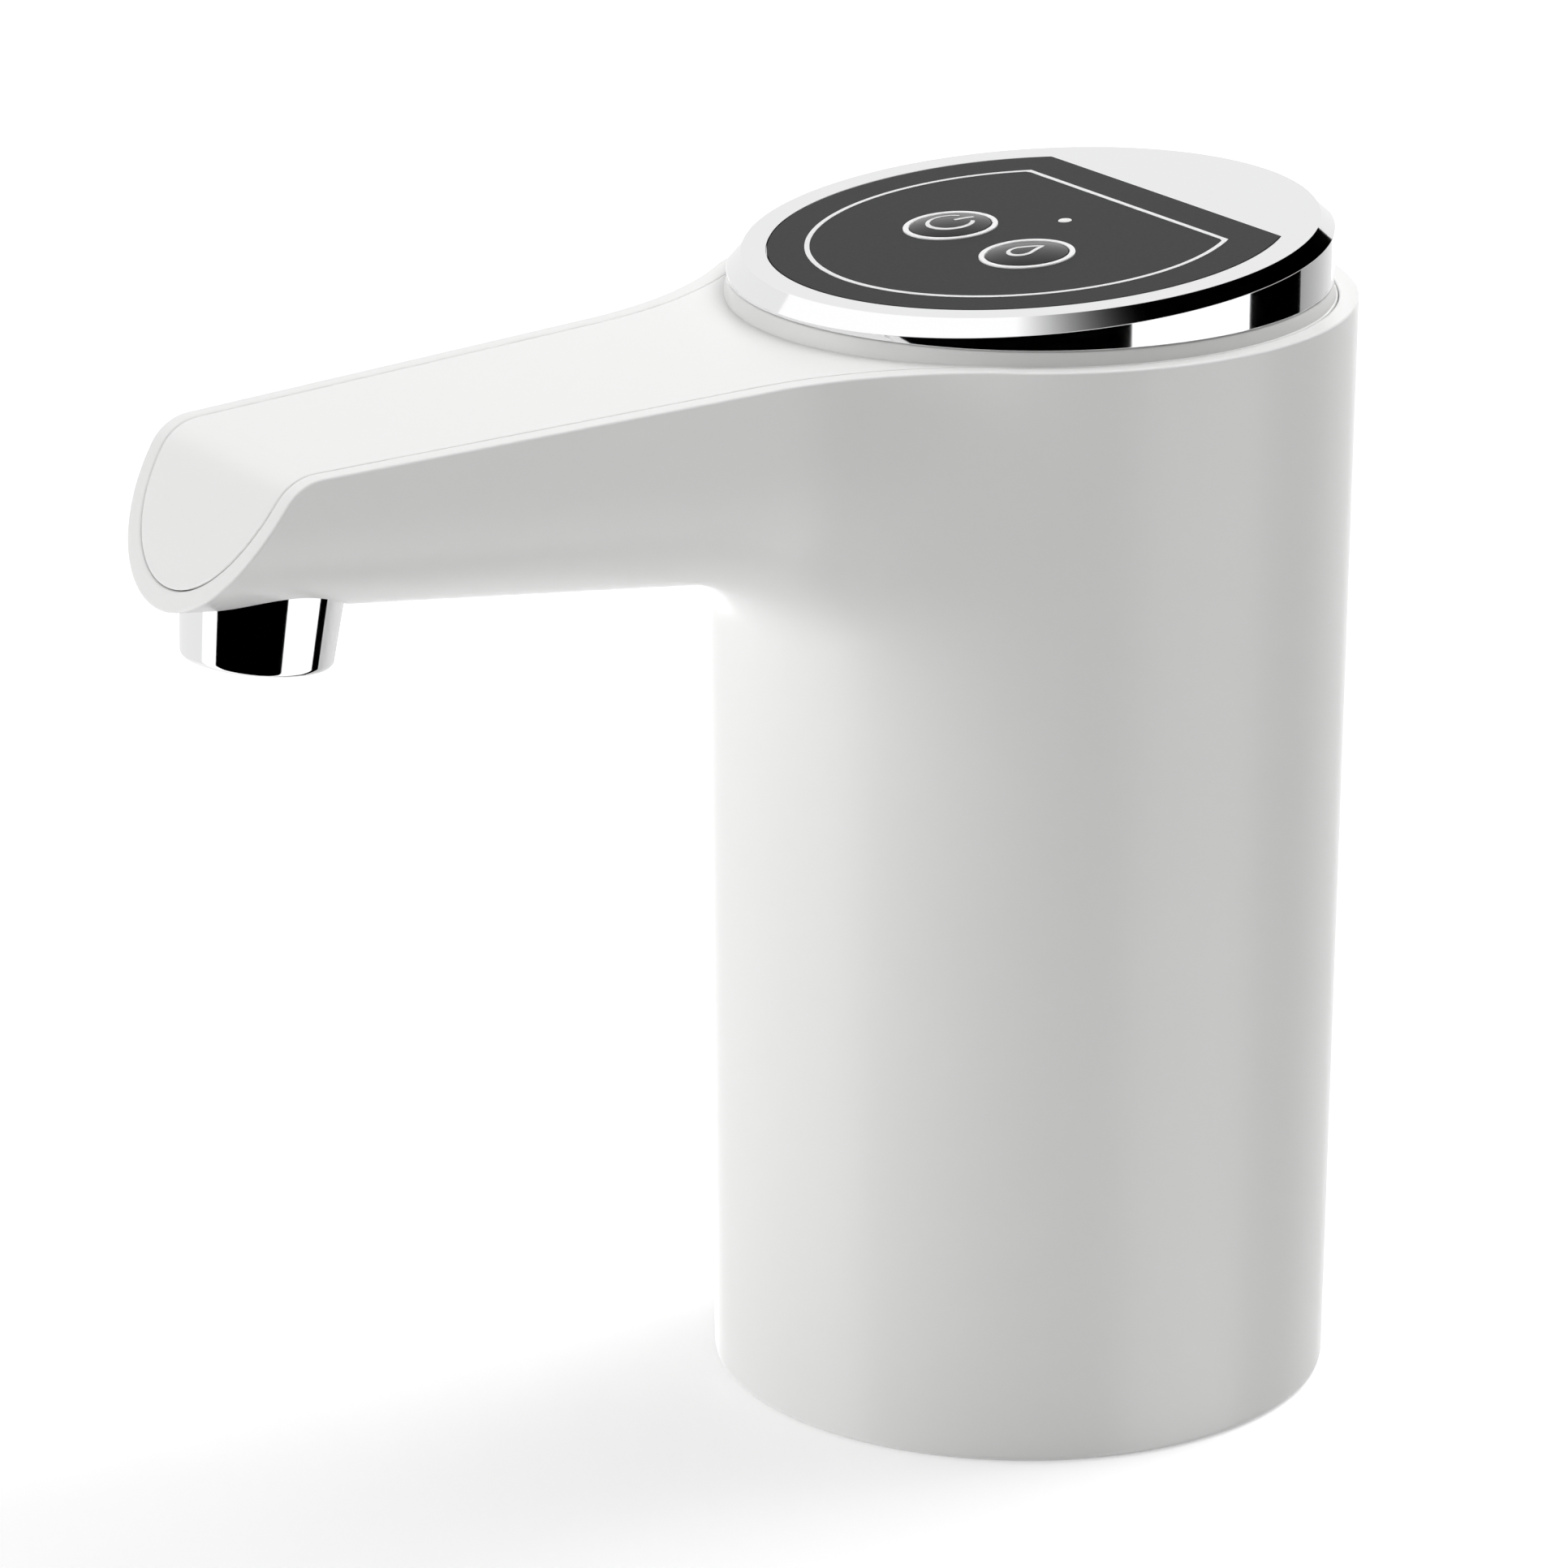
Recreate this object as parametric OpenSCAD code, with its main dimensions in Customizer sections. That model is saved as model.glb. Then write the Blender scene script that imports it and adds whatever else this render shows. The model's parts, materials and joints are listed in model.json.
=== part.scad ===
// Electric pump that sits on the neck of a water jug.
// Millimetres, +Z up, origin on the body's axis at its bottom rim, spout towards -Y.

/* [Body] */
// Height of the body up to its rim
body_h = 124.6; // [118:0.2:135]
// How much the body's radius grows from the bottom to the rim
body_taper = 1.2; // [0.4:0.1:2.4]
// Thickness of the moulded walls
wall = 2.2; // [1.8:0.1:2.4]
// Rounding of the bottom edge
base_round = 0.8; // [0.3:0.1:1.2]

/* [Spout] */
// Distance from the body's axis to the tip of the spout
spout_reach = 98; // [85:1:120]
// Half width of the spout at its tip
spout_tip_r = 15; // [13.5:0.1:16]
// Angle by which each side of the spout widens towards the body
spout_flare = 3.5; // [2:0.1:5]
// Angle by which the spout's keel rises towards the tip
spout_rise = 2.76; // [1:0.1:4]
// Depth of the spout's axis below its top at the tip
spout_axis_drop = 1.66; // [0.8:0.02:3]
// Angle by which the spout's top falls towards the tip
spout_fall = 2.75; // [1.5:0.1:4]
// Distance from the body's axis at which the top starts to fall
fall_start = 23; // [18:1:28]
// Radius in plan where the spout flows into the body
spout_fillet = 35; // [25:1:42]
// Radius of the nose's slight bulge in side view
nose_r = 120; // [80:5:160]
// Angle by which the nose's face leans back at the spout's axis
nose_lean = 33.8; // [28:0.2:38]
// How far the nose's face lies ahead of the tip at the spout's axis
nose_ahead = 1.8; // [1:0.1:3]
// Rounding where the spout's top turns down over the nose
crest_r = 5.6; // [4:0.1:7]

/* [Top cover] */
// Width of the body's rim outside the cover
rim_w = 2.2; // [1.8:0.1:2.4]
// Thickness of the cover
cover_t = 2; // [1.6:0.1:2.2]
// Width of the ledge under the cover's edge
ledge_w = 1.2; // [0.8:0.1:1.5]
// Thickness of the ledge
ledge_t = 1.5; // [1:0.1:2]
// Height of the cover's collar above the rim
collar_h = 1.6; // [1:0.1:2]
// Gap along the cover's seam
seam = 0.12; // [0.08:0.01:0.2]

/* [Cap and panel] */
// Width of the collar's slope between the seam and the cap
collar_w = 0.6; // [0.4:0.1:1]
// Width of the bevel round the cap's face
cap_bevel = 1.5; // [1.2:0.1:2.2]
// Height of the face's centre above the rim
cap_h = 6.6; // [6:0.1:8]
// Slope of the face towards the spout
cap_tilt = 5; // [3:0.1:6]
// Thickness of the cap's top
cap_plate_t = 2.4; // [2.2:0.1:2.6]
// Thickness of the cap's wall
cap_wall = 4.2; // [3.6:0.1:4.5]
// Depth of the cap's skirt below its seat
skirt_h = 3.4; // [2:0.1:4]
// Width of the plated face beside the dark panel
panel_margin = 3.2; // [2:0.1:4]
// How far the panel's round edge is set towards the spout
panel_ahead = 0.4; // [0:0.1:1]
// Width of the plated face behind the panel's straight rear edge
panel_rear = 13.95; // [10:0.05:18]
// Thickness of the panel
panel_t = 1.15; // [1:0.05:1.2]

/* [Buttons and light] */
// Distance of each button from the middle
button_x = 7.5; // [6.5:0.1:9]
// Distance of the buttons in front of the centre
button_y = 5.5; // [3:0.1:8]
// Radius of a button
button_r = 4.5; // [4:0.1:5]
// Width of the pale ring round a button
bezel_w = 0.65; // [0.5:0.05:0.9]
// How far a button's edge stands above the panel
button_proud = 0.1; // [0:0.05:0.2]
// Rise of the dome that makes a button's face
button_dome = 0.45; // [0.2:0.05:0.6]
// Travel of a button
button_travel = 0.5; // [0.3:0.05:0.6]
// Distance of the light behind the centre
lens_y = 4.6; // [3:0.1:8]
// Radius of the light
lens_r = 0.75; // [0.5:0.05:1.2]

/* [Control board] */
// Gap between the board and the cap's wall
board_gap = 2; // [1:0.1:3]
// Thickness of the board
board_t = 1.6; // [1:0.1:2]
// Distance from the panel's face to the board
board_drop = 8.9; // [8.4:0.1:9.6]
// Distance of the board's screws from its edge
board_screw_in = 4; // [3.5:0.1:6]
// Width of a switch
switch_w = 6; // [5:0.1:7]
// Height of a switch
switch_h = 3.5; // [3:0.1:3.8]
// Radius of a switch's plunger
plunger_r = 1.75; // [1.2:0.05:2]

/* [Jug neck] */
// Radius of the bore that takes the jug's neck
neck_bore_r = 27.8; // [27:0.1:28]
// Length of the bore that grips the neck
neck_grip = 22; // [16:1:28]
// Thickness of the soft seal
seal_t = 1.9; // [1.2:0.1:2]
// Thickness of the seal's flange
seal_flange_t = 1.2; // [0.8:0.1:1.6]
// Thickness of the sleeve behind the seal
sleeve_t = 2; // [1.4:0.1:2.2]
// Gap between the sleeve and the body
socket_gap = 0.8; // [0.4:0.1:1.5]
// Thickness of the base plate
plate_t = 3; // [2.6:0.1:4]
// Outer radius of the spigot for the suction hose
spigot_r = 4; // [3.4:0.1:5]
// Length of the spigot
spigot_len = 14; // [10:0.5:18]

/* [Water way] */
// Radius of the drilled water way
water_r = 1.8; // [1.4:0.1:2.1]
// Radius of the nipples that the tubes push onto
nipple_r = 2.85; // [2.6:0.05:3.2]
// Length of a nipple
nipple_len = 6; // [5:0.5:7]
// Thickness of a tube's wall
tube_wall = 1.5; // [1.2:0.1:1.6]

/* [Pump] */
// Gap between the pump and the frame's front column
pump_gap = 1.2; // [0.6:0.1:2]
// Outer radius of the pump
pump_r = 13.5; // [13.2:0.1:14]
// Least room between the base plate and the pump
pump_stand = 12; // [12:0.5:14]
// Thickness of the pump head
head_h = 7; // [6.5:0.1:8]
// Thickness of the valve plate
valve_t = 3; // [2.6:0.1:4]
// Thickness of the diaphragm's sheet
sheet_t = 1; // [0.8:0.1:1.4]
// Radius of a cup at its foot
cup_r = 4.6; // [4:0.1:4.8]
// Gap between a cup and the pump housing
cup_gap = 0.5; // [0.3:0.1:1]
// Height of a cup
cup_h = 4; // [3:0.1:4.4]
// Height of the pump housing
housing_h = 18; // [17:0.5:20]
// Thickness of the pump housing's wall
housing_t = 1.6; // [1.2:0.1:2]
// Thickness of the housing's end against the motor
housing_end_t = 2.5; // [2:0.1:3]
// Slant of the crank pin
crank_tilt = 6; // [3:0.1:7]
// Radius of the crank pin
crank_r = 0.8; // [0.6:0.05:0.9]
// Radius of the drive cam
cam_r = 4.5; // [3.6:0.1:5]
// Height of the drive cam
cam_h = 6; // [5:0.1:6]

/* [Motor] */
// Depth of the motor's rear end below the body's rim
motor_drop = 12.6; // [11:0.1:16]
// Radius of the motor's can
motor_r = 12.2; // [11.6:0.1:12.4]
// Length of the can
motor_h = 28; // [24:0.5:29]
// Thickness of the can
can_t = 1; // [0.8:0.1:1.2]
// Radius of the motor's shaft
shaft_r = 1; // [0.8:0.05:1.2]
// Radius of a bushing
bush_r = 2.5; // [2:0.1:2.8]
// Gap between the rotor and the magnets
rotor_gap = 0.5; // [0.3:0.05:1]
// Thickness of a magnet
magnet_t = 2.05; // [1.5:0.05:2.4]
// Length of the rotor's core
rotor_h = 16; // [12:0.5:17]
// Thickness of the motor's end cap
end_cap_t = 2.5; // [2:0.1:3]

/* [Battery and frame] */
// Radius of the battery cell
cell_r = 9.2; // [8.8:0.1:9.4]
// Length of the battery cell
cell_h = 65.2; // [60:0.1:66]
// Room above the cell, below the charging board's shelf
cell_room = 1.2; // [0.8:0.1:3]
// Thickness of the rings that hold the cell and the motor
holder_t = 1.6; // [1.2:0.1:2]
// Height of the frame's plate above the pump housing
frame_rise = 8; // [4:0.5:12]
// Thickness of the frame's plate
frame_t = 3; // [2.4:0.1:4]
// Distance of the frame's columns from the base plate's edge
column_in = 2.25; // [1.5:0.05:3]
// Radius of a column
column_r = 2.8; // [2.4:0.1:3]
// Distance of the body's screw bosses from the base plate's edge
boss_in = 3.35; // [2.5:0.05:4]
// Radius of a screw boss
boss_r = 3.2; // [2.8:0.1:3.4]

/* [Nozzle] */
// Distance of the nozzle's lip behind the spout's tip
nozzle_back = 1.7; // [0.5:0.1:4]
// Length of the nozzle below the spout's keel
nozzle_len = 6.24; // [5:0.02:8]
// Lean of the nozzle, square to the spout's keel
nozzle_tilt = 6.5; // [4:0.1:8]
// Radius of the nozzle at the spout
nozzle_r = 8.8; // [8:0.1:9.2]
// Radius of the nozzle just above its lip
nozzle_foot_r = 8.15; // [7.8:0.05:8.5]
// Rounding of the nozzle's lip
nozzle_round = 0.75; // [0.4:0.05:1]
// Radius of the nozzle's mouth
mouth_r = 6.4; // [6:0.1:6.8]
// Depth to which the nozzle is let into the spout
nozzle_let_in = 1; // [0.6:0.1:1.3]
// Outer radius of the outlet elbow's leg
elbow_r = 4.9; // [4.2:0.1:5]
// Radius of the elbow's bend
elbow_bend = 6.5; // [6:0.1:7]

/* [Charging port] */
// Height of the port's middle below the rim
port_drop = 9.6; // [9:0.1:11]
// Width of the socket
port_w = 9; // [7:0.1:9.4]
// Height of the socket
port_h = 3.2; // [2.6:0.1:3.4]
// Depth of the socket
port_depth = 7.3; // [6:0.1:8]
// Width of the charging board
charge_w = 14; // [12:0.5:16]
// Length of the charging board
charge_len = 12; // [10:0.5:13]

/* [Hidden] */
$fn = 96;
fit_gap = 0.05;
loose_gap = 0.1;
run_gap = 0.03;
press_gap = 0.01;
part_gap = 0.3;
over = 1;
far = 200;
screw_r = 1.2;
screw_head_r = 2.5;
small_screw_r = 1;
small_head_r = 2;
screw_head_t = 1.6;

// Body, from the jug's neck outwards
sleeve_bore_r = neck_bore_r + seal_t + loose_gap;
sleeve_r = sleeve_bore_r + sleeve_t;
body_r_base = sleeve_r + socket_gap + wall;
body_r_top = body_r_base + body_taper;
recess_r = body_r_top - rim_w;
cover_relief = 0.5;
ledge_in = 1.4;
ledge_r = recess_r - ledge_w - ledge_in;
ledge_z = body_h - cover_t - ledge_t - cover_relief;

// Spout
spout_axis_z = top_z(-spout_reach) - spout_axis_drop;
nose_y = nose_r * cos(nose_lean) - nose_ahead - spout_reach;
nose_z = spout_axis_z - nose_r * sin(nose_lean);
wall_above_axis = 16;

// Cap, panel, buttons and board
cap_r = recess_r - collar_w;
cap_face_r = cap_r - cap_bevel;
cap_seat_z = body_h + collar_h;
cap_hollow_r = cap_r - cap_wall;
cap_z = body_h + cap_h;
skirt_t = 1.5;
skirt_r = cap_hollow_r + skirt_t;
collar_hole_r = skirt_r + loose_gap;
panel_r = cap_face_r - panel_margin;
panel_chord = cap_face_r - panel_rear;
bezel_proud = 0.15;
bezel_r = button_r + loose_gap + bezel_w;
button_flange_w = 0.9;
button_flange_r = button_r + button_flange_w;
button_flange_t = 0.8;
lens_proud = 0.1;
lens_flange_w = 0.6;
board_r = cap_hollow_r - board_gap;
board_screw_ring = board_r - board_screw_in;
board_angles = [90, 210, 330];
board_boss_r = 2.6;
board_bite = 4;
switch_well = 0.9;
switch_rest = 0.2;
led_w = 2;
led_d = 1.2;
led_h = 0.8;
chip_w = 7;
chip_h = 1.2;
chip_y = 15;
plug_w = 5;
plug_d = 8;
plug_h = 3.6;
plug_x = 14;
plug_y = 9;

// Charging port
port_z = body_h - port_drop;
port_set = 0.9;
port_face_y = body_r_top - wall - port_set;
port_play = 0.5;
port_shell_t = 0.35;
tongue_w = 6.6;
tongue_t = 0.7;
tongue_set = 1;
charge_t = 1.2;
charge_z = port_z - port_h / 2 - charge_t;
charge_set = 0.4;
shelf_t = 2.2;
shelf_rim = 1.5;
shelf_y = port_face_y - charge_len - charge_set;

// Heights of the motor and pump, from the rim downwards
motor_top = body_h - motor_drop;
housing_top = motor_top - motor_h;
housing_z = housing_top - housing_h;
sheet_z = housing_z - sheet_t;
valve_z = sheet_z - valve_t;
head_z = valve_z - head_h;

// Base plate, low enough for the pump and for the cell
tab_t = 0.3;
tab_w = 8;
tab_d = 6;
cell_top = charge_z - shelf_t - cell_room;
base_z = min(head_z - pump_stand, cell_top - cell_h - 2 * tab_t);
cell_z = base_z + tab_t;
cell_step = 1.5;
cell_cup_h = 5;
socket_h = base_z - plate_t;
plate_r = body_r_base - wall - fit_gap;
boss_ring = plate_r - boss_r - boss_in;
boss_angles = [20, 130, 240];
boss_h = 15;
boss_web = 2;
column_ring = plate_r - column_r - column_in;
column_angles = [0, 180, 270];
column_bite = 8;

// Places in plan: the free room is shared before and behind the cell
pump_y = column_ring - column_r - pump_r - pump_gap;
cell_hold_r = cell_r + holder_t;
cell_free = plate_r + pump_y - pump_r - 2 * cell_hold_r;
cell_y = plate_r - cell_free / 2 - cell_hold_r;

// Water way
tube_in_r = nipple_r + fit_gap;
tube_r = tube_in_r + tube_wall;
tube_gap = 1.25;
outlet_reach = body_r_base - wall - tube_r - tube_gap;
outlet_x = sqrt(outlet_reach * outlet_reach - pump_y * pump_y);
outlet_z = head_z + head_h / 2;
outlet_arm_r = 3;
outlet_post_r = 3.5;
gallery_r = water_r - part_gap;

// Pump
pedestal_t = 2;
tube_play = 0.6;
cup_ring = pump_r - housing_t - cup_r - cup_gap;
cup_draft = 0.5;
cup_t = 0.8;
cup_set = 0.2;
stem_r = 1.1;
stem_gap = 0.36;
cup_angles = [90, 210, 330];
pump_screw_angles = [30, 150, 270];
pump_screw_in = 1.8;
pump_screw_ring = pump_r - pump_screw_in;
pump_screw_bite = 7;
pump_boss_r = 2.1;
pump_boss_h = 10;
valve_port_r = 0.8;
inlet_ring = cup_ring + 1.5;
outlet_ring = cup_ring - 2.6;
groove_w = 2.6;
groove_d = 1.2;
flap_r = 1.4;
flap_t = 0.4;
outlet_flap_r = outlet_ring + valve_port_r;
outlet_flap_t = 0.5;
chamber_r = outlet_flap_r + 0.2;

// The crank pin's axis meets the shaft's axis at the wobble centre
cam_z = housing_top - housing_end_t - cam_h - part_gap;
wobble_z = housing_z;
cam_rise = cam_z - wobble_z;
pin_bite = 2.2;
pin_top = cam_rise + pin_bite;
hub_r = 2.6;
hub_h = 2.8;
hub_gap = 0.6;
hub_top = cam_rise - hub_gap;
hub_bottom = hub_top - hub_h;
pin_bottom = hub_bottom - hub_gap;
arm_set = 0.7;
arm_bottom = hub_bottom + arm_set;
arm_t = 1.4;
arm_w = 3.2;
arm_pad_r = 2.1;
arm_dip = (cup_ring + arm_pad_r) * tan(crank_tilt);
stem_h = arm_bottom - arm_dip - stem_gap;
shaft_set = 2.4;
shaft_bottom = cam_z + shaft_set;

// Motor
shaft_top = motor_top + end_cap_t - 0.5;
boss_motor_t = 0.6;
boss_motor_r = bush_r + boss_motor_t;
motor_boss_h = 2;
motor_screw_ring = 8;
motor_screw_bite = 2;
terminal_x = 5;
terminal_w = 2;
terminal_t = 0.4;
terminal_h = 1;
core_room = 6;
core_z = housing_top + core_room;
hub_core_r = 3.2;
magnet_in_r = motor_r - can_t - fit_gap - magnet_t;
magnet_over = 2;
magnet_gap = 6;
rotor_r = magnet_in_r - rotor_gap;
pole_t = 1.4;
pole_span = 48;
spoke_w = 3;
rotor_angles = [0, 120, 240];
winding_in = 3.7;
winding_w = 6;
winding_over = 1.6;
commutator_r = 2.6;
commutator_h = 3.5;

// Frame
frame_bottom = housing_top + frame_rise;
frame_top = frame_bottom + frame_t;
frame_gap = 0.6;
frame_r = body_r(frame_bottom) - wall - frame_gap;
motor_ring_h = 6;
cell_ring_h = 4;
slot_gap = 2.1;

// Nozzle and elbow, along the nozzle's own axis
nozzle_y = spout_reach - nozzle_back;
nozzle_z = spout_axis_z - spout_tip_r - nozzle_len;
neck_t = 1.7;
neck_r = elbow_r + neck_t;
neck_top = 9;
neck_foot = 3;
bell_top = 12;
bell_taper_h = 8;
elbow_foot = 6;
elbow_flange_t = 1.5;
bend_z = neck_top + elbow_flange_t;
elbow_level = bend_z + elbow_bend;
elbow_pipe_r = 3.9;
elbow_stop = 3;
barb_len = 13;

// Route of the outlet tube: up beside the motor, over its top, then along the spout
tube_start = [outlet_x, -pump_y, outlet_z + outlet_post_r + part_gap];
tube_turn_y = -pump_y - 2;
tube_step = 10.6;
tube_lean = 0.6;
tube_spout = at_nozzle_point(elbow_bend + barb_len + tube_step, elbow_level);
tube_end = at_nozzle_point(elbow_bend + elbow_stop + part_gap / 2, elbow_level);
// Share of the way across, share of the way along the spout, depth below the rim
tube_rows = [
    [1, 0, 31.6], [0.9, 0.076, 22.6], [0.66, 0.219, 16.4],
    [0.36, 0.4, 13.8], [0.128, 0.6, 13], [0.016, 0.8, 13.2]
];
outlet_route = concat(
    [tube_start, tube_start + [0, 0, tube_step], tube_start + [0, -tube_lean, 2 * tube_step]],
    [for (row = tube_rows)
        [row[0] * outlet_x, tube_turn_y + row[1] * (tube_spout[1] - tube_turn_y), body_h - row[2]]],
    [tube_spout, at_nozzle_point(elbow_bend + barb_len + part_gap, elbow_level), tube_end]
);

// Routes of the leads, each from a terminal up to the board
lead_r = 0.6;
lead_lean = 3;
motor_lead_top = [terminal_x + lead_lean / 2, lead_lean - pump_y];
cell_lead_x = 2.5;
cell_lead_y = min(cell_y, shelf_y - lead_r - part_gap);
cell_lead_top = [cell_lead_x, cell_lead_y - lead_lean];
charge_lead_x = 4;
charge_lead_y = shelf_y + 2.5 * lead_r;
charge_lead_top = [charge_lead_x, charge_lead_y - 0.6 * lead_lean];
motor_lead_route = lead_route(
    [terminal_x, -pump_y, motor_top + end_cap_t + terminal_h + loose_gap], motor_lead_top);
cell_lead_route = lead_route(
    [cell_lead_x, cell_lead_y, cell_z + cell_h + tab_t + loose_gap], cell_lead_top);
charge_lead_route = lead_route(
    [charge_lead_x, charge_lead_y, charge_z + charge_t + loose_gap], charge_lead_top);

// Outer radius of the tapered body at a height
function body_r(z) = body_r_base + (body_r_top - body_r_base) * z / body_h;

// Height of the spout's top at a distance along it
function top_z(y) = body_h - max(0, -y - fall_start) * tan(spout_fall);

// Height of the board's underside
function board_under(y) =
    cap_z + y * tan(cap_tilt) - (board_drop + board_t) / cos(cap_tilt);

// A lead that leaves and arrives upright
function lead_route(from, to) =
    let (end = [to[0], to[1], board_under(to[1]) - 2 * loose_gap])
    let (rise = [0, 0, 0.3 * (end[2] - from[2])])
    [from, from + rise, end - rise, end];

// A point given along the nozzle's own axes
function at_nozzle_point(y, z) = [
    0,
    y * cos(nozzle_tilt) + z * sin(nozzle_tilt) - nozzle_y,
    z * cos(nozzle_tilt) - y * sin(nozzle_tilt) + nozzle_z
];

// Half of the spout's outline in plan: a widening side, then the arc that meets the body
function flare_dir() = [sin(spout_flare), cos(spout_flare)];
function fillet_run(inset, rho) =
    let (a = [spout_tip_r - inset + rho * cos(spout_flare), -rho * sin(spout_flare) - spout_reach])
    let (along = a * flare_dir())
    let (span = body_r_top + part_gap - inset + rho)
    -along - sqrt(along * along - a * a + span * span);
function fillet_centre(inset, rho) =
    [spout_tip_r - inset + rho * cos(spout_flare), -rho * sin(spout_flare)]
    + fillet_run(inset, rho) * flare_dir();

// A smooth curve through the points of a route
function curve_point(a, b, c, d, t) =
    0.5 * (2 * b + (c - a) * t + (2 * a - 5 * b + 4 * c - d) * t * t
        + (3 * b - a - 3 * c + d) * t * t * t);
function curve(route, steps) =
    let (last = len(route) - 1)
    [
        for (i = [0 : last - 1], s = [0 : steps - 1])
            let (before = route[max(i - 1, 0)])
            let (after = route[min(i + 2, last)])
            curve_point(before, route[i], route[i + 1], after, s / steps),
        route[last]
    ];
function unit(v) = v / norm(v);
function heading(points, i) =
    unit(points[min(i + 1, len(points) - 1)] - points[max(i - 1, 0)]);
function ring(points, i, r, sides) =
    let (t = heading(points, i))
    let (a = unit(cross(t, [1, 0, 0])))
    let (b = cross(t, a))
    [for (k = [0 : sides - 1]) points[i] + r * (cos(360 * k / sides) * a + sin(360 * k / sides) * b)];

module at_panel() {
    translate([0, 0, cap_z]) rotate([cap_tilt, 0, 0]) children();
}

module at_pump() {
    translate([0, -pump_y, 0]) children();
}

module at_crank() {
    translate([0, -pump_y, wobble_z]) rotate([crank_tilt, 0, 0]) children();
}

module at_spout() {
    translate([0, -spout_reach, spout_axis_z]) rotate([-spout_rise, 0, 0]) children();
}

module at_nozzle() {
    translate([0, -nozzle_y, nozzle_z]) rotate([-nozzle_tilt, 0, 0]) children();
}

module around(angles, ring_r) {
    for (a = angles) rotate(a) translate([ring_r, 0, 0]) rotate(-a) children();
}

module tube(r, bore, h) {
    difference() {
        cylinder(r = r, h = h);
        translate([0, 0, -over]) cylinder(r = bore, h = h + 2 * over);
    }
}

// A screw with its head below z = 0 and its shank above
module screw(r, head_r, length) {
    translate([0, 0, -screw_head_t]) cylinder(r = head_r, h = screw_head_t);
    cylinder(r = r, h = length);
}

// A round wire or tube swept along a curve
module swept(points, r, sides) {
    count = len(points);
    verts = [for (i = [0 : count - 1]) each ring(points, i, r, sides)];
    sides_faces = [
        for (i = [0 : count - 2], k = [0 : sides - 1])
            let (n = (k + 1) % sides)
            each [
                [i * sides + k, (i + 1) * sides + n, i * sides + n],
                [i * sides + k, (i + 1) * sides + k, (i + 1) * sides + n]
            ]
    ];
    foot = [[for (k = [0 : sides - 1]) k]];
    head = [[for (k = [0 : sides - 1]) count * sides - 1 - k]];
    polyhedron(verts, concat(sides_faces, foot, head), convexity = 8);
}

// Side view of the spout and rim, drawn in by a depth
module side_outline(depth) {
    top = body_h - depth;
    kink = depth * tan(spout_fall / 2) - fall_start;
    rear = 2 * body_r_top;
    front = -spout_reach - far;
    slope = [cos(spout_fall), sin(spout_fall)];
    up = [-sin(spout_fall), cos(spout_fall)];
    nose = [nose_y, nose_z];
    low = [-fall_start, body_h] - crest_r * up - nose;
    along = low * slope;
    crest_run = -along - sqrt(along * along - low * low + pow(nose_r - crest_r, 2));
    crest = low + nose + crest_run * slope;
    ahead = (crest - nose) / norm(crest - nose);
    round_r = crest_r - depth;
    difference() {
        intersection() {
            polygon([
                [rear, -over], [rear, top], [kink, top],
                [front, top_z(front) - depth / cos(spout_fall)], [front, -over]
            ]);
            union() {
                translate([nose_y, -over]) square([rear - nose_y, body_h + far]);
                translate(nose) circle(nose_r - depth);
            }
        }
        difference() {
            polygon([
                crest, crest + round_r * up, crest + crest_r * (3 * up + ahead),
                crest + crest_r * (3 * ahead + up), crest + round_r * ahead
            ]);
            translate(crest) circle(round_r);
        }
    }
}

module below_top(depth) {
    rotate([90, 0, 90]) linear_extrude(far, center = true) side_outline(depth);
}

module spout_half(inset) {
    rho = spout_fillet + inset;
    centre = fillet_centre(inset, rho);
    touch = centre - rho * [cos(spout_flare), -sin(spout_flare)];
    tip = -2 * spout_tip_r;
    difference() {
        polygon([
            [0, tip], [spout_tip_r - inset + tip * tan(spout_flare), tip], touch, centre, [0, spout_reach]
        ]);
        translate(centre) circle(rho + fit_gap);
    }
}

// The spout's channel: a round keel below its axis and upright sides above
module spout_section(inset) {
    at_spout() {
        linear_extrude(wall_above_axis) {
            spout_half(inset);
            mirror([1, 0]) spout_half(inset);
        }
        rotate([-90, 0, 0]) rotate_extrude() spout_half(inset);
    }
}

module body_outer() {
    rotate_extrude() polygon(concat(
        [[0, 0]],
        [for (a = [0 : 15 : 90])
            [body_r_base - base_round + base_round * sin(a), base_round - base_round * cos(a)]],
        [[body_r_top, body_h], [0, body_h]]
    ));
    intersection() {
        spout_section(0);
        below_top(0);
    }
}

// Everything that the body shell is hollowed out by
module body_hollow() {
    rotate_extrude() polygon([
        [0, -over], [body_r(-over) - wall, -over], [body_r(ledge_z) - wall, ledge_z],
        [ledge_r, ledge_z], [ledge_r, body_h + over], [0, body_h + over]
    ]);
    difference() {
        union() {
            spout_section(rim_w);
            translate([0, 0, body_h / 2]) cylinder(r = recess_r, h = body_h);
        }
        below_top(cover_t);
    }
    intersection() {
        spout_section(wall + ledge_w);
        below_top(cover_t - fit_gap);
    }
    intersection() {
        spout_section(wall);
        below_top(cover_t + ledge_t);
    }
}

module nozzle_bell(grow) {
    rotate_extrude() polygon(concat(
        [[0, 0]],
        [for (a = [0 : 15 : 90])
            [nozzle_foot_r + grow - nozzle_round + nozzle_round * sin(a),
                nozzle_round - nozzle_round * cos(a)]],
        [[nozzle_r + grow, bell_taper_h], [nozzle_r + grow, bell_top], [0, bell_top]]
    ));
}

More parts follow.
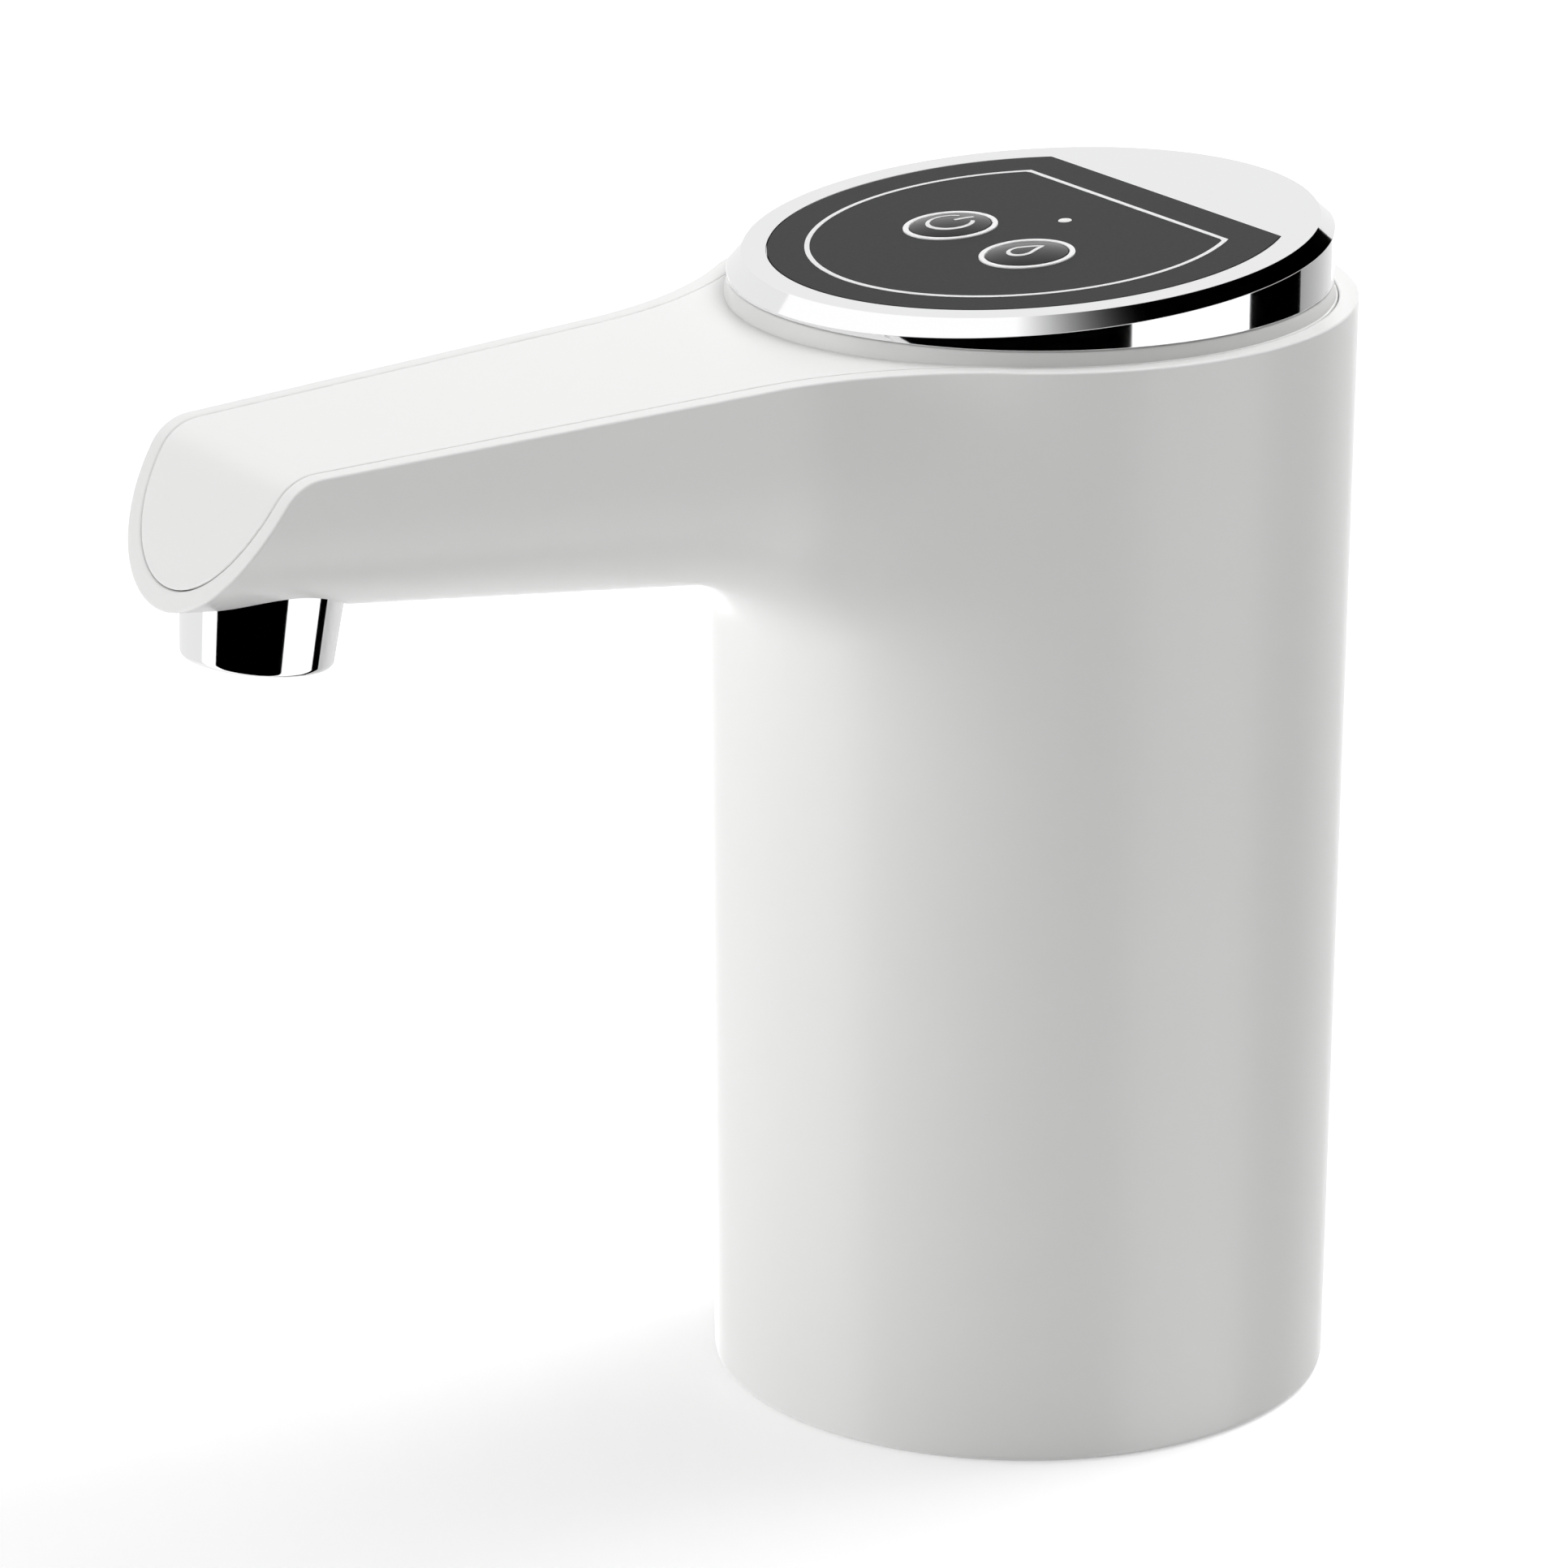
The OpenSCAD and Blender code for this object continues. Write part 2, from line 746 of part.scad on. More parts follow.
module body_shell() {
    color("whitesmoke") difference() {
        union() {
            difference() {
                body_outer();
                body_hollow();
            }
            for (a = boss_angles) rotate(a) translate([boss_ring, 0, base_z + fit_gap]) {
                cylinder(r = boss_r, h = boss_h);
                translate([boss_r / 2, -boss_web / 2, 0])
                    cube([body_r_base - wall / 2 - boss_ring - boss_r / 2, boss_web, boss_h]);
            }
            usb_shelf();
        }
        around(boss_angles, boss_ring) translate([0, 0, base_z - over])
            cylinder(r = screw_r + fit_gap, h = boss_h - over);
        at_nozzle() translate([0, 0, -over]) cylinder(r = neck_r + loose_gap, h = bell_top + over);
        difference() {
            at_nozzle() nozzle_bell(loose_gap);
            spout_section(nozzle_let_in + loose_gap);
        }
        translate([0, port_face_y - wall, port_z])
            port_outline(port_w + 2 * port_play, port_h + 2 * port_play, far);
    }
}

// Shelf inside the rear wall that carries the charging board
module usb_shelf() {
    shelf_w = charge_w + 2 * shelf_rim;
    intersection() {
        translate([-shelf_w / 2, shelf_y, charge_z - shelf_t])
            cube([shelf_w, far, shelf_t - fit_gap]);
        cylinder(r = body_r_base - wall / 2, h = far);
    }
}

// A flat slot with round ends, running along +Y
module port_outline(w, h, depth) {
    rotate([-90, 0, 0]) linear_extrude(depth) {
        square([w - h, h], center = true);
        for (s = [-1, 1]) translate([s * (w - h) / 2, 0]) circle(h / 2);
    }
}

module top_cover() {
    color("white") difference() {
        union() {
            intersection() {
                difference() {
                    union() {
                        spout_section(rim_w + seam);
                        translate([0, 0, body_h / 2]) cylinder(r = recess_r - seam, h = body_h);
                    }
                    below_top(cover_t - fit_gap);
                }
                below_top(0);
            }
            collar_r = recess_r - part_gap;
            collar_foot = body_h - cover_t + fit_gap;
            collar_top = cap_seat_z - fit_gap;
            rotate_extrude() polygon([
                [0, collar_foot], [collar_r, collar_foot], [collar_r, body_h],
                [cap_r - loose_gap, collar_top], [0, collar_top]
            ]);
        }
        translate([0, 0, body_h / 2]) cylinder(r = collar_hole_r, h = body_h);
    }
}

module chrome_cap() {
    color("silver") difference() {
        union() {
            intersection() {
                translate([0, 0, cap_seat_z]) cylinder(r = cap_r, h = 3 * cap_h);
                at_panel() translate([0, 0, -2 * cap_h])
                    cylinder(r1 = cap_face_r + 2 * cap_h, r2 = cap_face_r, h = 2 * cap_h);
            }
            translate([0, 0, cap_seat_z - skirt_h]) cylinder(r = skirt_r, h = skirt_h + over);
        }
        difference() {
            translate([0, 0, cap_seat_z - skirt_h - over]) cylinder(r = cap_hollow_r, h = 4 * cap_h);
            at_panel() translate([0, 0, -cap_plate_t]) cylinder(r = 2 * cap_r, h = 4 * cap_h);
            at_panel() around(board_angles, board_screw_ring) translate([0, 0, -board_drop])
                cylinder(r = board_boss_r, h = board_drop);
        }
        at_panel() {
            translate([0, 0, -panel_t - fit_gap]) linear_extrude(far) panel_outline(loose_gap);
            at_buttons() translate([0, 0, -board_drop])
                cylinder(r = button_r + loose_gap, h = far);
            translate([0, lens_y, -board_drop]) cylinder(r = lens_r + loose_gap, h = far);
            around(board_angles, board_screw_ring) translate([0, 0, -board_drop - over])
                cylinder(r = small_screw_r + fit_gap, h = board_bite + 2 * over);
        }
    }
}

module at_buttons() {
    for (s = [-1, 1]) translate([s * button_x, -button_y, 0]) children();
}

module panel_outline(grow) {
    intersection() {
        translate([0, -panel_ahead]) circle(panel_r + grow);
        translate([-far / 2, panel_chord + grow - far]) square(far);
    }
}

module control_panel() {
    color("dimgray") at_panel() difference() {
        translate([0, 0, -panel_t]) linear_extrude(panel_t) panel_outline(0);
        at_buttons() translate([0, 0, -2 * panel_t])
            cylinder(r = bezel_r + fit_gap, h = 3 * panel_t);
        translate([0, lens_y, -2 * panel_t]) cylinder(r = lens_r + loose_gap, h = 3 * panel_t);
    }
}

module button_bezels() {
    color("white") at_panel() at_buttons() translate([0, 0, -panel_t])
        tube(bezel_r, button_r + loose_gap, panel_t + bezel_proud);
}

module indicator_lens() {
    flange_z = -cap_plate_t - fit_gap;
    foot_z = led_h + part_gap - board_drop;
    color("lightyellow") at_panel() translate([0, lens_y, 0]) {
        translate([0, 0, flange_z]) cylinder(r = lens_r, h = lens_proud - flange_z);
        translate([0, 0, foot_z]) cylinder(r = lens_r + lens_flange_w, h = flange_z - foot_z);
    }
}

// A domed push button with a flange that keeps it under the cap
module button() {
    flange_top = -cap_plate_t - loose_gap;
    crown = button_proud + button_dome;
    dome_r = (button_r * button_r + button_dome * button_dome) / (2 * button_dome);
    intersection() {
        translate([0, 0, flange_top - button_flange_t]) {
            cylinder(r = button_r, h = crown + over + button_flange_t - flange_top);
            cylinder(r = button_flange_r, h = button_flange_t);
        }
        translate([0, 0, crown - dome_r]) sphere(dome_r);
    }
}

// The stem between a button and its switch
module plunger() {
    top = -cap_plate_t - loose_gap - button_flange_t;
    bottom = switch_h - board_drop - switch_well;
    translate([0, 0, bottom]) cylinder(r = plunger_r, h = top - bottom);
}

module power_button() {
    color([0.12, 0.12, 0.13]) at_panel() translate([-button_x, -button_y, 0]) button();
}

module power_plunger() {
    color("dimgray") at_panel() translate([-button_x, -button_y, 0]) plunger();
}

module dispense_button() {
    color([0.12, 0.12, 0.13]) at_panel() translate([button_x, -button_y, 0]) button();
}

module dispense_plunger() {
    color("dimgray") at_panel() translate([button_x, -button_y, 0]) plunger();
}

module control_board() {
    color("darkgreen") at_panel() translate([0, 0, -board_drop - board_t]) difference() {
        cylinder(r = board_r, h = board_t - fit_gap);
        around(board_angles, board_screw_ring) translate([0, 0, -over])
            cylinder(r = small_screw_r + loose_gap, h = board_t + 2 * over);
    }
}

// A light, a controller and two plugs on the board
module board_components() {
    color([0.15, 0.15, 0.15]) at_panel() translate([0, 0, -board_drop]) {
        translate([-led_w / 2, lens_y - led_d / 2, 0]) cube([led_w, led_d, led_h]);
        translate([-chip_w / 2, -chip_y - chip_w / 2, 0]) cube([chip_w, chip_w, chip_h]);
        for (s = [-1, 1]) translate([s * plug_x - plug_w / 2, plug_y - plug_d / 2, 0])
            cube([plug_w, plug_d, plug_h]);
    }
}

module tact_switches() {
    color("gray") at_panel() at_buttons() translate([0, 0, -board_drop]) difference() {
        translate([-switch_w / 2, -switch_w / 2, 0]) cube([switch_w, switch_w, switch_h]);
        translate([0, 0, switch_h - switch_well - button_travel - switch_rest])
            cylinder(r = plunger_r + loose_gap, h = switch_h);
    }
}

module board_screws() {
    color("silver") at_panel() around(board_angles, board_screw_ring)
        translate([0, 0, -board_drop - board_t]) screw(small_screw_r, small_head_r, board_t + board_bite);
}

module base_plate() {
    tube_cut = tube_r + tube_play;
    color("gainsboro") difference() {
        union() {
            translate([0, 0, socket_h]) cylinder(r = plate_r, h = plate_t);
            translate([0, 0, seal_flange_t])
                cylinder(r = sleeve_r, h = socket_h - seal_flange_t + over);
            at_pump() translate([0, 0, socket_h + over])
                cylinder(r = pump_r, h = head_z - socket_h - over - fit_gap);
            translate([0, cell_y, socket_h + over])
                cylinder(r = cell_hold_r, h = plate_t + cell_cup_h);
            around(column_angles, column_ring) translate([0, 0, socket_h + over])
                cylinder(r = column_r, h = frame_bottom - socket_h - over - fit_gap);
        }
        difference() {
            translate([0, 0, -over]) cylinder(r = sleeve_bore_r, h = socket_h + over);
            translate([0, 0, socket_h - spigot_len]) cylinder(r = spigot_r, h = far);
        }
        difference() {
            union() {
                at_pump() translate([0, 0, base_z]) cylinder(r = pump_r - pedestal_t, h = far);
                translate([-tube_cut, -tube_cut, base_z])
                    cube([2 * tube_cut, 2 * tube_cut + tube_play, far]);
            }
            translate([0, 0, base_z - over]) cylinder(r = nipple_r, h = nipple_len + over);
        }
        translate([0, cell_y, base_z]) cylinder(r = cell_r + loose_gap, h = far);
        cylinder(r = water_r, h = far);
        around(boss_angles, boss_ring) translate([0, 0, socket_h - over]) {
            cylinder(r = screw_head_r + 2 * loose_gap, h = screw_head_t + over + loose_gap);
            cylinder(r = screw_r + loose_gap, h = plate_t + 2 * over);
        }
        around(column_angles, column_ring) translate([0, 0, frame_bottom - column_bite - 2 * over])
            cylinder(r = screw_r + fit_gap, h = far);
    }
}

module neck_seal() {
    color([0.2, 0.2, 0.2]) rotate_extrude() polygon([
        [neck_bore_r, 0], [sleeve_r, 0], [sleeve_r, seal_flange_t - fit_gap],
        [sleeve_bore_r - fit_gap, seal_flange_t - fit_gap],
        [sleeve_bore_r - fit_gap, seal_flange_t + neck_grip],
        [neck_bore_r, seal_flange_t + neck_grip]
    ]);
}

module base_screws() {
    color("silver") around(boss_angles, boss_ring) translate([0, 0, socket_h + screw_head_t])
        screw(screw_r, screw_head_r, plate_t - screw_head_t + boss_h - 3 * over - screw_r);
}

module mid_frame() {
    slot_w = 2 * (tube_r + slot_gap);
    slot_in = outlet_x - tube_r - slot_gap / 2;
    color("lightgray") difference() {
        union() {
            translate([0, 0, frame_bottom]) cylinder(r = frame_r, h = frame_t);
            at_pump() translate([0, 0, frame_bottom])
                cylinder(r = motor_r + holder_t, h = frame_t + motor_ring_h);
            translate([0, cell_y, frame_bottom]) cylinder(r = cell_hold_r, h = frame_t + cell_ring_h);
        }
        translate([0, 0, frame_bottom - over]) {
            at_pump() cylinder(r = motor_r + loose_gap, h = far);
            translate([0, cell_y, 0]) cylinder(r = cell_r + loose_gap, h = far);
            for (s = [0, 1]) mirror([s, 0, 0]) translate([slot_in, tube_turn_y - slot_w / 2, 0])
                cube([far, slot_w, frame_t + 2 * over]);
            around(column_angles, column_ring)
                cylinder(r = screw_r + loose_gap, h = frame_t + 2 * over);
        }
    }
}

module frame_screws() {
    color("silver") around(column_angles, column_ring) translate([0, 0, frame_top])
        mirror([0, 0, 1]) screw(screw_r, screw_head_r, frame_t + column_bite);
}

module battery_cell() {
    color("teal") translate([0, cell_y, cell_z]) {
        cylinder(r = cell_r, h = cell_h - cell_step);
        cylinder(r = cell_r / 3, h = cell_h);
    }
}

module battery_tabs() {
    color("lightgray") translate([0, cell_y, 0]) {
        for (z = [base_z, cell_z + cell_h]) translate([-tab_w / 2, -tab_d / 2, z])
            cube([tab_w, tab_d, tab_t]);
    }
}

module lead_pair(route) {
    points = curve(route, 3);
    swept(points, lead_r, 8);
    mirror([1, 0, 0]) swept(points, lead_r, 8);
}

module battery_leads() {
    color("red") lead_pair(cell_lead_route);
}

module motor_leads() {
    color("red") lead_pair(motor_lead_route);
}

module charge_leads() {
    color("black") lead_pair(charge_lead_route);
}

module motor_can() {
    boss_z = housing_top - motor_boss_h;
    color("silver") at_pump() difference() {
        union() {
            translate([0, 0, housing_top]) cylinder(r = motor_r, h = motor_h);
            translate([0, 0, boss_z]) cylinder(r = boss_motor_r, h = motor_boss_h + can_t / 2);
        }
        translate([0, 0, housing_top + can_t]) cylinder(r = motor_r - can_t, h = motor_h);
        translate([0, 0, boss_z - over]) cylinder(r = bush_r + fit_gap, h = motor_h);
        around([0, 180], motor_screw_ring) translate([0, 0, housing_top - over])
            cylinder(r = small_screw_r + fit_gap, h = can_t + 2 * over);
    }
}

module motor_end_cap() {
    color("ivory") at_pump() translate([0, 0, motor_top]) tube(motor_r, bush_r + fit_gap, end_cap_t);
}

module motor_terminals() {
    color("gold") at_pump() for (s = [-1, 1])
        translate([s * terminal_x - terminal_w / 2, -terminal_t / 2, motor_top + end_cap_t])
            cube([terminal_w, terminal_t, terminal_h]);
}

module motor_magnets() {
    magnet_h = rotor_h + 2 * magnet_over;
    color("dimgray") at_pump() translate([0, 0, core_z - magnet_over]) difference() {
        tube(magnet_in_r + magnet_t, magnet_in_r, magnet_h);
        translate([-motor_r, -magnet_gap / 2, -over])
            cube([2 * motor_r, magnet_gap, magnet_h + 2 * over]);
    }
}

module motor_bushings() {
    color("goldenrod") at_pump() {
        translate([0, 0, housing_top - motor_boss_h])
            tube(bush_r, shaft_r + run_gap, motor_boss_h + can_t);
        translate([0, 0, motor_top]) tube(bush_r, shaft_r + run_gap, end_cap_t);
    }
}

module motor_screws() {
    color("silver") at_pump() around([0, 180], motor_screw_ring)
        translate([0, 0, housing_top - housing_end_t])
            screw(small_screw_r, small_head_r, housing_end_t + motor_screw_bite);
}

module motor_shaft() {
    color("silver") at_pump() translate([0, 0, shaft_bottom])
        cylinder(r = shaft_r, h = shaft_top - shaft_bottom);
}

// Three poles on a hub, pressed on the shaft
module rotor_core() {
    color("slategray") at_pump() translate([0, 0, core_z]) difference() {
        linear_extrude(rotor_h) {
            circle(hub_core_r);
            for (a = rotor_angles) rotate(a) {
                translate([0, -spoke_w / 2]) square([rotor_r - pole_t / 2, spoke_w]);
                intersection() {
                    difference() {
                        circle(rotor_r);
                        circle(rotor_r - pole_t);
                    }
                    polygon(2 * rotor_r * [[0, 0], [1, -tan(pole_span)], [1, tan(pole_span)]]);
                }
            }
        }
        translate([0, 0, -over]) cylinder(r = shaft_r + press_gap, h = rotor_h + 2 * over);
    }
}

module rotor_windings() {
    winding_out = sqrt(pow(rotor_r - pole_t - loose_gap, 2) - pow(winding_w / 2, 2));
    color("peru") at_pump() for (a = rotor_angles) rotate(a) difference() {
        translate([winding_in, -winding_w / 2, core_z - winding_over])
            cube([winding_out - winding_in, winding_w, rotor_h + 2 * winding_over]);
        translate([0, -spoke_w / 2 - fit_gap, core_z - fit_gap])
            cube([rotor_r, spoke_w + 2 * fit_gap, rotor_h + 2 * fit_gap]);
    }
}

module commutator() {
    color("goldenrod") at_pump() translate([0, 0, core_z + rotor_h + fit_gap])
        tube(commutator_r, shaft_r + press_gap, commutator_h);
}

module drive_cam() {
    color("white") difference() {
        at_pump() translate([0, 0, cam_z]) cylinder(r = cam_r, h = cam_h);
        at_pump() translate([0, 0, shaft_bottom - loose_gap])
            cylinder(r = shaft_r + press_gap, h = 2 * cam_h);
        at_crank() cylinder(r = crank_r + press_gap, h = pin_top + fit_gap);
    }
}

module crank_pin() {
    color("silver") at_crank() translate([0, 0, pin_bottom])
        cylinder(r = crank_r, h = pin_top - pin_bottom);
}

module wobble_plate() {
    color("white") at_crank() difference() {
        union() {
            translate([0, 0, hub_bottom]) cylinder(r = hub_r, h = hub_top - hub_bottom);
            translate([0, 0, arm_bottom]) linear_extrude(arm_t) for (a = cup_angles) rotate(a) {
                translate([0, -arm_w / 2]) square([cup_ring, arm_w]);
                translate([cup_ring, 0]) circle(arm_pad_r);
            }
        }
        translate([0, 0, hub_bottom - over]) cylinder(r = crank_r + run_gap, h = hub_top);
    }
}

module pump_housing() {
    color("white") at_pump() translate([0, 0, housing_z]) difference() {
        cylinder(r = pump_r, h = housing_h);
        difference() {
            translate([0, 0, -over])
                cylinder(r = pump_r - housing_t, h = housing_h - housing_end_t + over);
            around(pump_screw_angles, pump_screw_ring) translate([0, 0, -2 * over])
                cylinder(r = pump_boss_r, h = pump_boss_h + 2 * over);
        }
        cylinder(r = boss_motor_r + fit_gap, h = far);
        around([0, 180], motor_screw_ring) translate([0, 0, housing_h / 2])
            cylinder(r = small_screw_r + loose_gap, h = far);
        around(pump_screw_angles, pump_screw_ring) translate([0, 0, -over])
            cylinder(r = small_screw_r + fit_gap, h = pump_screw_bite + 3 * over);
    }
}

// A rubber sheet with three cups, each with a stem for the wobble plate
module diaphragm() {
    cup_top = sheet_t + cup_h;
    color([0.25, 0.25, 0.25]) at_pump() translate([0, 0, sheet_z]) difference() {
        union() {
            translate([0, 0, fit_gap]) cylinder(r = pump_r, h = sheet_t - 2 * fit_gap);
            around(cup_angles, cup_ring) {
                translate([0, 0, cup_set])
                    cylinder(r1 = cup_r, r2 = cup_r - cup_draft, h = cup_top - cup_set);
                translate([0, 0, sheet_t]) cylinder(r = stem_r, h = stem_h);
            }
        }
        around(cup_angles, cup_ring) translate([0, 0, -cup_set])
            cylinder(r1 = cup_r - cup_t, r2 = cup_r - cup_t - cup_draft, h = cup_top - cup_t + cup_set);
        around(pump_screw_angles, pump_screw_ring) translate([0, 0, -over])
            cylinder(r = small_screw_r + loose_gap, h = sheet_t + 2 * over);
    }
}

module valve_plate() {
    color("white") at_pump() translate([0, 0, valve_z]) difference() {
        cylinder(r = pump_r, h = valve_t);
        translate([0, 0, -over])
            tube(inlet_ring + groove_w / 2, inlet_ring - groove_w / 2, groove_d + over);
        around(cup_angles, inlet_ring) cylinder(r = valve_port_r, h = far);
        around(cup_angles, outlet_ring) translate([0, 0, -over]) cylinder(r = valve_port_r, h = far);
        around(pump_screw_angles, pump_screw_ring) translate([0, 0, -over])
            cylinder(r = small_screw_r + loose_gap, h = far);
    }
}

// Three inlet flaps on top of the plate and one outlet flap under it
module check_valves() {
    color("orange") at_pump() {
        around(cup_angles, inlet_ring) translate([0, 0, sheet_z + run_gap])
            cylinder(r = flap_r, h = flap_t);
        translate([0, 0, valve_z - outlet_flap_t - run_gap])
            cylinder(r = outlet_flap_r, h = outlet_flap_t);
    }
}

module pump_head() {
    color("white") difference() {
        union() {
            at_pump() translate([0, 0, head_z]) cylinder(r = pump_r, h = head_h);
            translate([0, 0, head_z - nipple_len]) cylinder(r = nipple_r, h = nipple_len + over);
            translate([0, -pump_y, outlet_z]) rotate([0, 90, 0])
                cylinder(r = outlet_arm_r, h = outlet_x);
            translate([outlet_x, -pump_y, outlet_z - outlet_post_r])
                cylinder(r = outlet_post_r, h = 2 * outlet_post_r);
            translate([outlet_x, -pump_y, outlet_z])
                cylinder(r = nipple_r, h = outlet_post_r + nipple_len);
        }
        translate([0, 0, head_z - nipple_len - over]) cylinder(r = water_r, h = far);
        translate([0, -pump_y, outlet_z]) rotate([0, 90, 0]) cylinder(r = gallery_r, h = outlet_x);
        translate([outlet_x, -pump_y, outlet_z - water_r]) cylinder(r = water_r, h = far);
        at_pump() translate([0, 0, outlet_z - water_r]) cylinder(r = chamber_r, h = far);
        at_pump() around(pump_screw_angles, pump_screw_ring) translate([0, 0, head_z - over]) {
            cylinder(r = small_head_r + loose_gap, h = screw_head_t + over + loose_gap);
            cylinder(r = small_screw_r + loose_gap, h = head_h + 2 * over);
        }
    }
}

module pump_screws() {
    screw_z = head_z + screw_head_t + fit_gap;
    color("silver") at_pump() around(pump_screw_angles, pump_screw_ring) translate([0, 0, screw_z])
        screw(small_screw_r, small_head_r, housing_z + pump_screw_bite - screw_z);
}

module inlet_tube() {
    color("aliceblue") translate([0, 0, base_z + part_gap])
        tube(tube_r, tube_in_r, head_z - base_z - 2 * part_gap);
}

module outlet_tube() {
    sides = 12;
    points = curve(outlet_route, 3);
    color("aliceblue") difference() {
        swept(points, tube_r / cos(180 / sides), sides);
        swept(concat(
            [points[0] - heading(points, 0)], points,
            [points[len(points) - 1] + heading(points, len(points) - 1)]
        ), tube_in_r / cos(180 / sides), sides);
    }
}

module outlet_elbow() {
    color("white") at_nozzle() difference() {
        union() {
            translate([0, 0, elbow_foot]) cylinder(r = elbow_r, h = bend_z - elbow_foot);
            translate([0, 0, neck_top + fit_gap]) cylinder(r = neck_r, h = elbow_flange_t - fit_gap);
            elbow_turn(elbow_pipe_r);
            translate([0, elbow_bend, elbow_level]) rotate([-90, 0, 0]) {
                cylinder(r = elbow_pipe_r, h = elbow_stop);
                cylinder(r = nipple_r, h = barb_len);
            }
        }
        translate([0, 0, elbow_foot - over]) cylinder(r = water_r, h = bend_z - elbow_foot + over);
        elbow_turn(water_r);
        translate([0, elbow_bend, elbow_level]) rotate([-90, 0, 0]) cylinder(r = water_r, h = far);
    }
}

// A quarter turn from straight up to straight back
module elbow_turn(r) {
    translate([0, elbow_bend, bend_z]) rotate([90, 0, 90]) rotate([0, 0, 90])
        rotate_extrude(angle = 90) translate([elbow_bend, 0]) circle(r);
}

module nozzle() {
    bore_r = elbow_r + fit_gap;
    color("silver") difference() {
        union() {
            difference() {
                at_nozzle() nozzle_bell(0);
                spout_section(nozzle_let_in);
            }
            at_nozzle() translate([0, 0, neck_foot]) cylinder(r = neck_r, h = neck_top - neck_foot);
        }
        at_nozzle() {
            translate([0, 0, -over]) cylinder(r = bore_r, h = far);
            translate([0, 0, -press_gap]) cylinder(r1 = mouth_r, r2 = bore_r, h = elbow_foot - over);
        }
    }
}

module usb_socket() {
    inner_w = port_w - 2 * port_shell_t;
    inner_h = port_h - 2 * port_shell_t;
    color("silver") translate([0, port_face_y - port_depth, port_z]) {
        difference() {
            port_outline(port_w, port_h - fit_gap, port_depth);
            translate([0, tongue_set, 0]) port_outline(inner_w, inner_h, far);
        }
        translate([-tongue_w / 2, tongue_set / 2, -tongue_t / 2])
            cube([tongue_w, port_depth - 1.5 * tongue_set, tongue_t]);
    }
}

module charge_board() {
    color("darkgreen") translate([-charge_w / 2, port_face_y - charge_len, charge_z])
        cube([charge_w, charge_len - charge_set, charge_t]);
}

body_shell();
top_cover();
chrome_cap();
control_panel();
button_bezels();
indicator_lens();
power_button();
power_plunger();
dispense_button();
dispense_plunger();
control_board();
board_components();
tact_switches();
board_screws();
base_plate();
neck_seal();
base_screws();
mid_frame();
frame_screws();
battery_cell();
battery_tabs();
battery_leads();
motor_can();
motor_end_cap();
motor_terminals();
motor_magnets();
motor_bushings();
motor_screws();
motor_leads();
motor_shaft();
rotor_core();
rotor_windings();
commutator();
drive_cam();
crank_pin();
wobble_plate();
pump_housing();
diaphragm();
valve_plate();
check_valves();
pump_head();
pump_screws();
inlet_tube();
outlet_tube();
outlet_elbow();
nozzle();
usb_socket();
charge_board();
charge_leads();
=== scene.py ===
"""Looks of an electric water jug pump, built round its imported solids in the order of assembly.

Shapes are worked out in millimetres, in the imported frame: the body stands on z = 0 with its
axis on x = y = 0, and the spout runs to -Y. Meshes are turned to metres when they are closed.
"""

import json
import math

import bmesh
import bpy
from mathutils import Matrix, Vector


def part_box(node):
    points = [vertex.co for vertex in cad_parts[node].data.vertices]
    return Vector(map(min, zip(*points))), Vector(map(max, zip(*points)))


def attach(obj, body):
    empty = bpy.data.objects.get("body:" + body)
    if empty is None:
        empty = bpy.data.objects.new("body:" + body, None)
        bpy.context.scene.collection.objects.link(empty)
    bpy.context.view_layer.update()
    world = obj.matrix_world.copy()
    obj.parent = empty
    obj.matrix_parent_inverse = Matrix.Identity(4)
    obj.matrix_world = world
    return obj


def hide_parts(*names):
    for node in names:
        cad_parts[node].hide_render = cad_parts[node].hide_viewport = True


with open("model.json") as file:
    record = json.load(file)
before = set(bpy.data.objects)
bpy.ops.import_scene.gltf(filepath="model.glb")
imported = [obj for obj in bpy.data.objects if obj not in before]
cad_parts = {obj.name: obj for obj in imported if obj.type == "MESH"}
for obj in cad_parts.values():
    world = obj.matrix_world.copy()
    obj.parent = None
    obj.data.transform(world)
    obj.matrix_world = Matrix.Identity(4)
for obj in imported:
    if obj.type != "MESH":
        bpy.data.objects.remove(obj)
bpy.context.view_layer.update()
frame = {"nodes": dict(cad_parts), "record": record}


# Camera: a long lens on a stand, to the right of the spout and a little above the panel.
# Its place and lens were fitted to the rims, seams and corners that the photograph shows.
MM = 0.001
CAMERA_AZIMUTH = math.radians(57.845)
CAMERA_ELEVATION = math.radians(18.375)
CAMERA_DISTANCE = 790.0
CAMERA_TARGET = Vector((-14.3, -22.74, 67.4))
SENSOR_WIDTH = 36.0
FOCAL_PIXELS = 8692.3
IMAGE_PIXELS = 1932


def direction(azimuth, elevation):
    """Unit vector at an angle round from the spout's side towards +X, and above the floor."""
    level = math.cos(elevation)
    return Vector((math.sin(azimuth) * level, -math.cos(azimuth) * level, math.sin(elevation)))


towards_camera = direction(CAMERA_AZIMUTH, CAMERA_ELEVATION)
camera = bpy.data.objects.new("camera", bpy.data.cameras.new("camera"))
camera.data.sensor_width = SENSOR_WIDTH
camera.data.lens = SENSOR_WIDTH * FOCAL_PIXELS / IMAGE_PIXELS
camera.location = (CAMERA_TARGET + CAMERA_DISTANCE * towards_camera) * MM
camera.rotation_euler = towards_camera.to_track_quat("Z", "Y").to_euler()
bpy.context.collection.objects.link(camera)
bpy.context.scene.camera = camera
bpy.context.scene.view_settings.view_transform = "Standard"


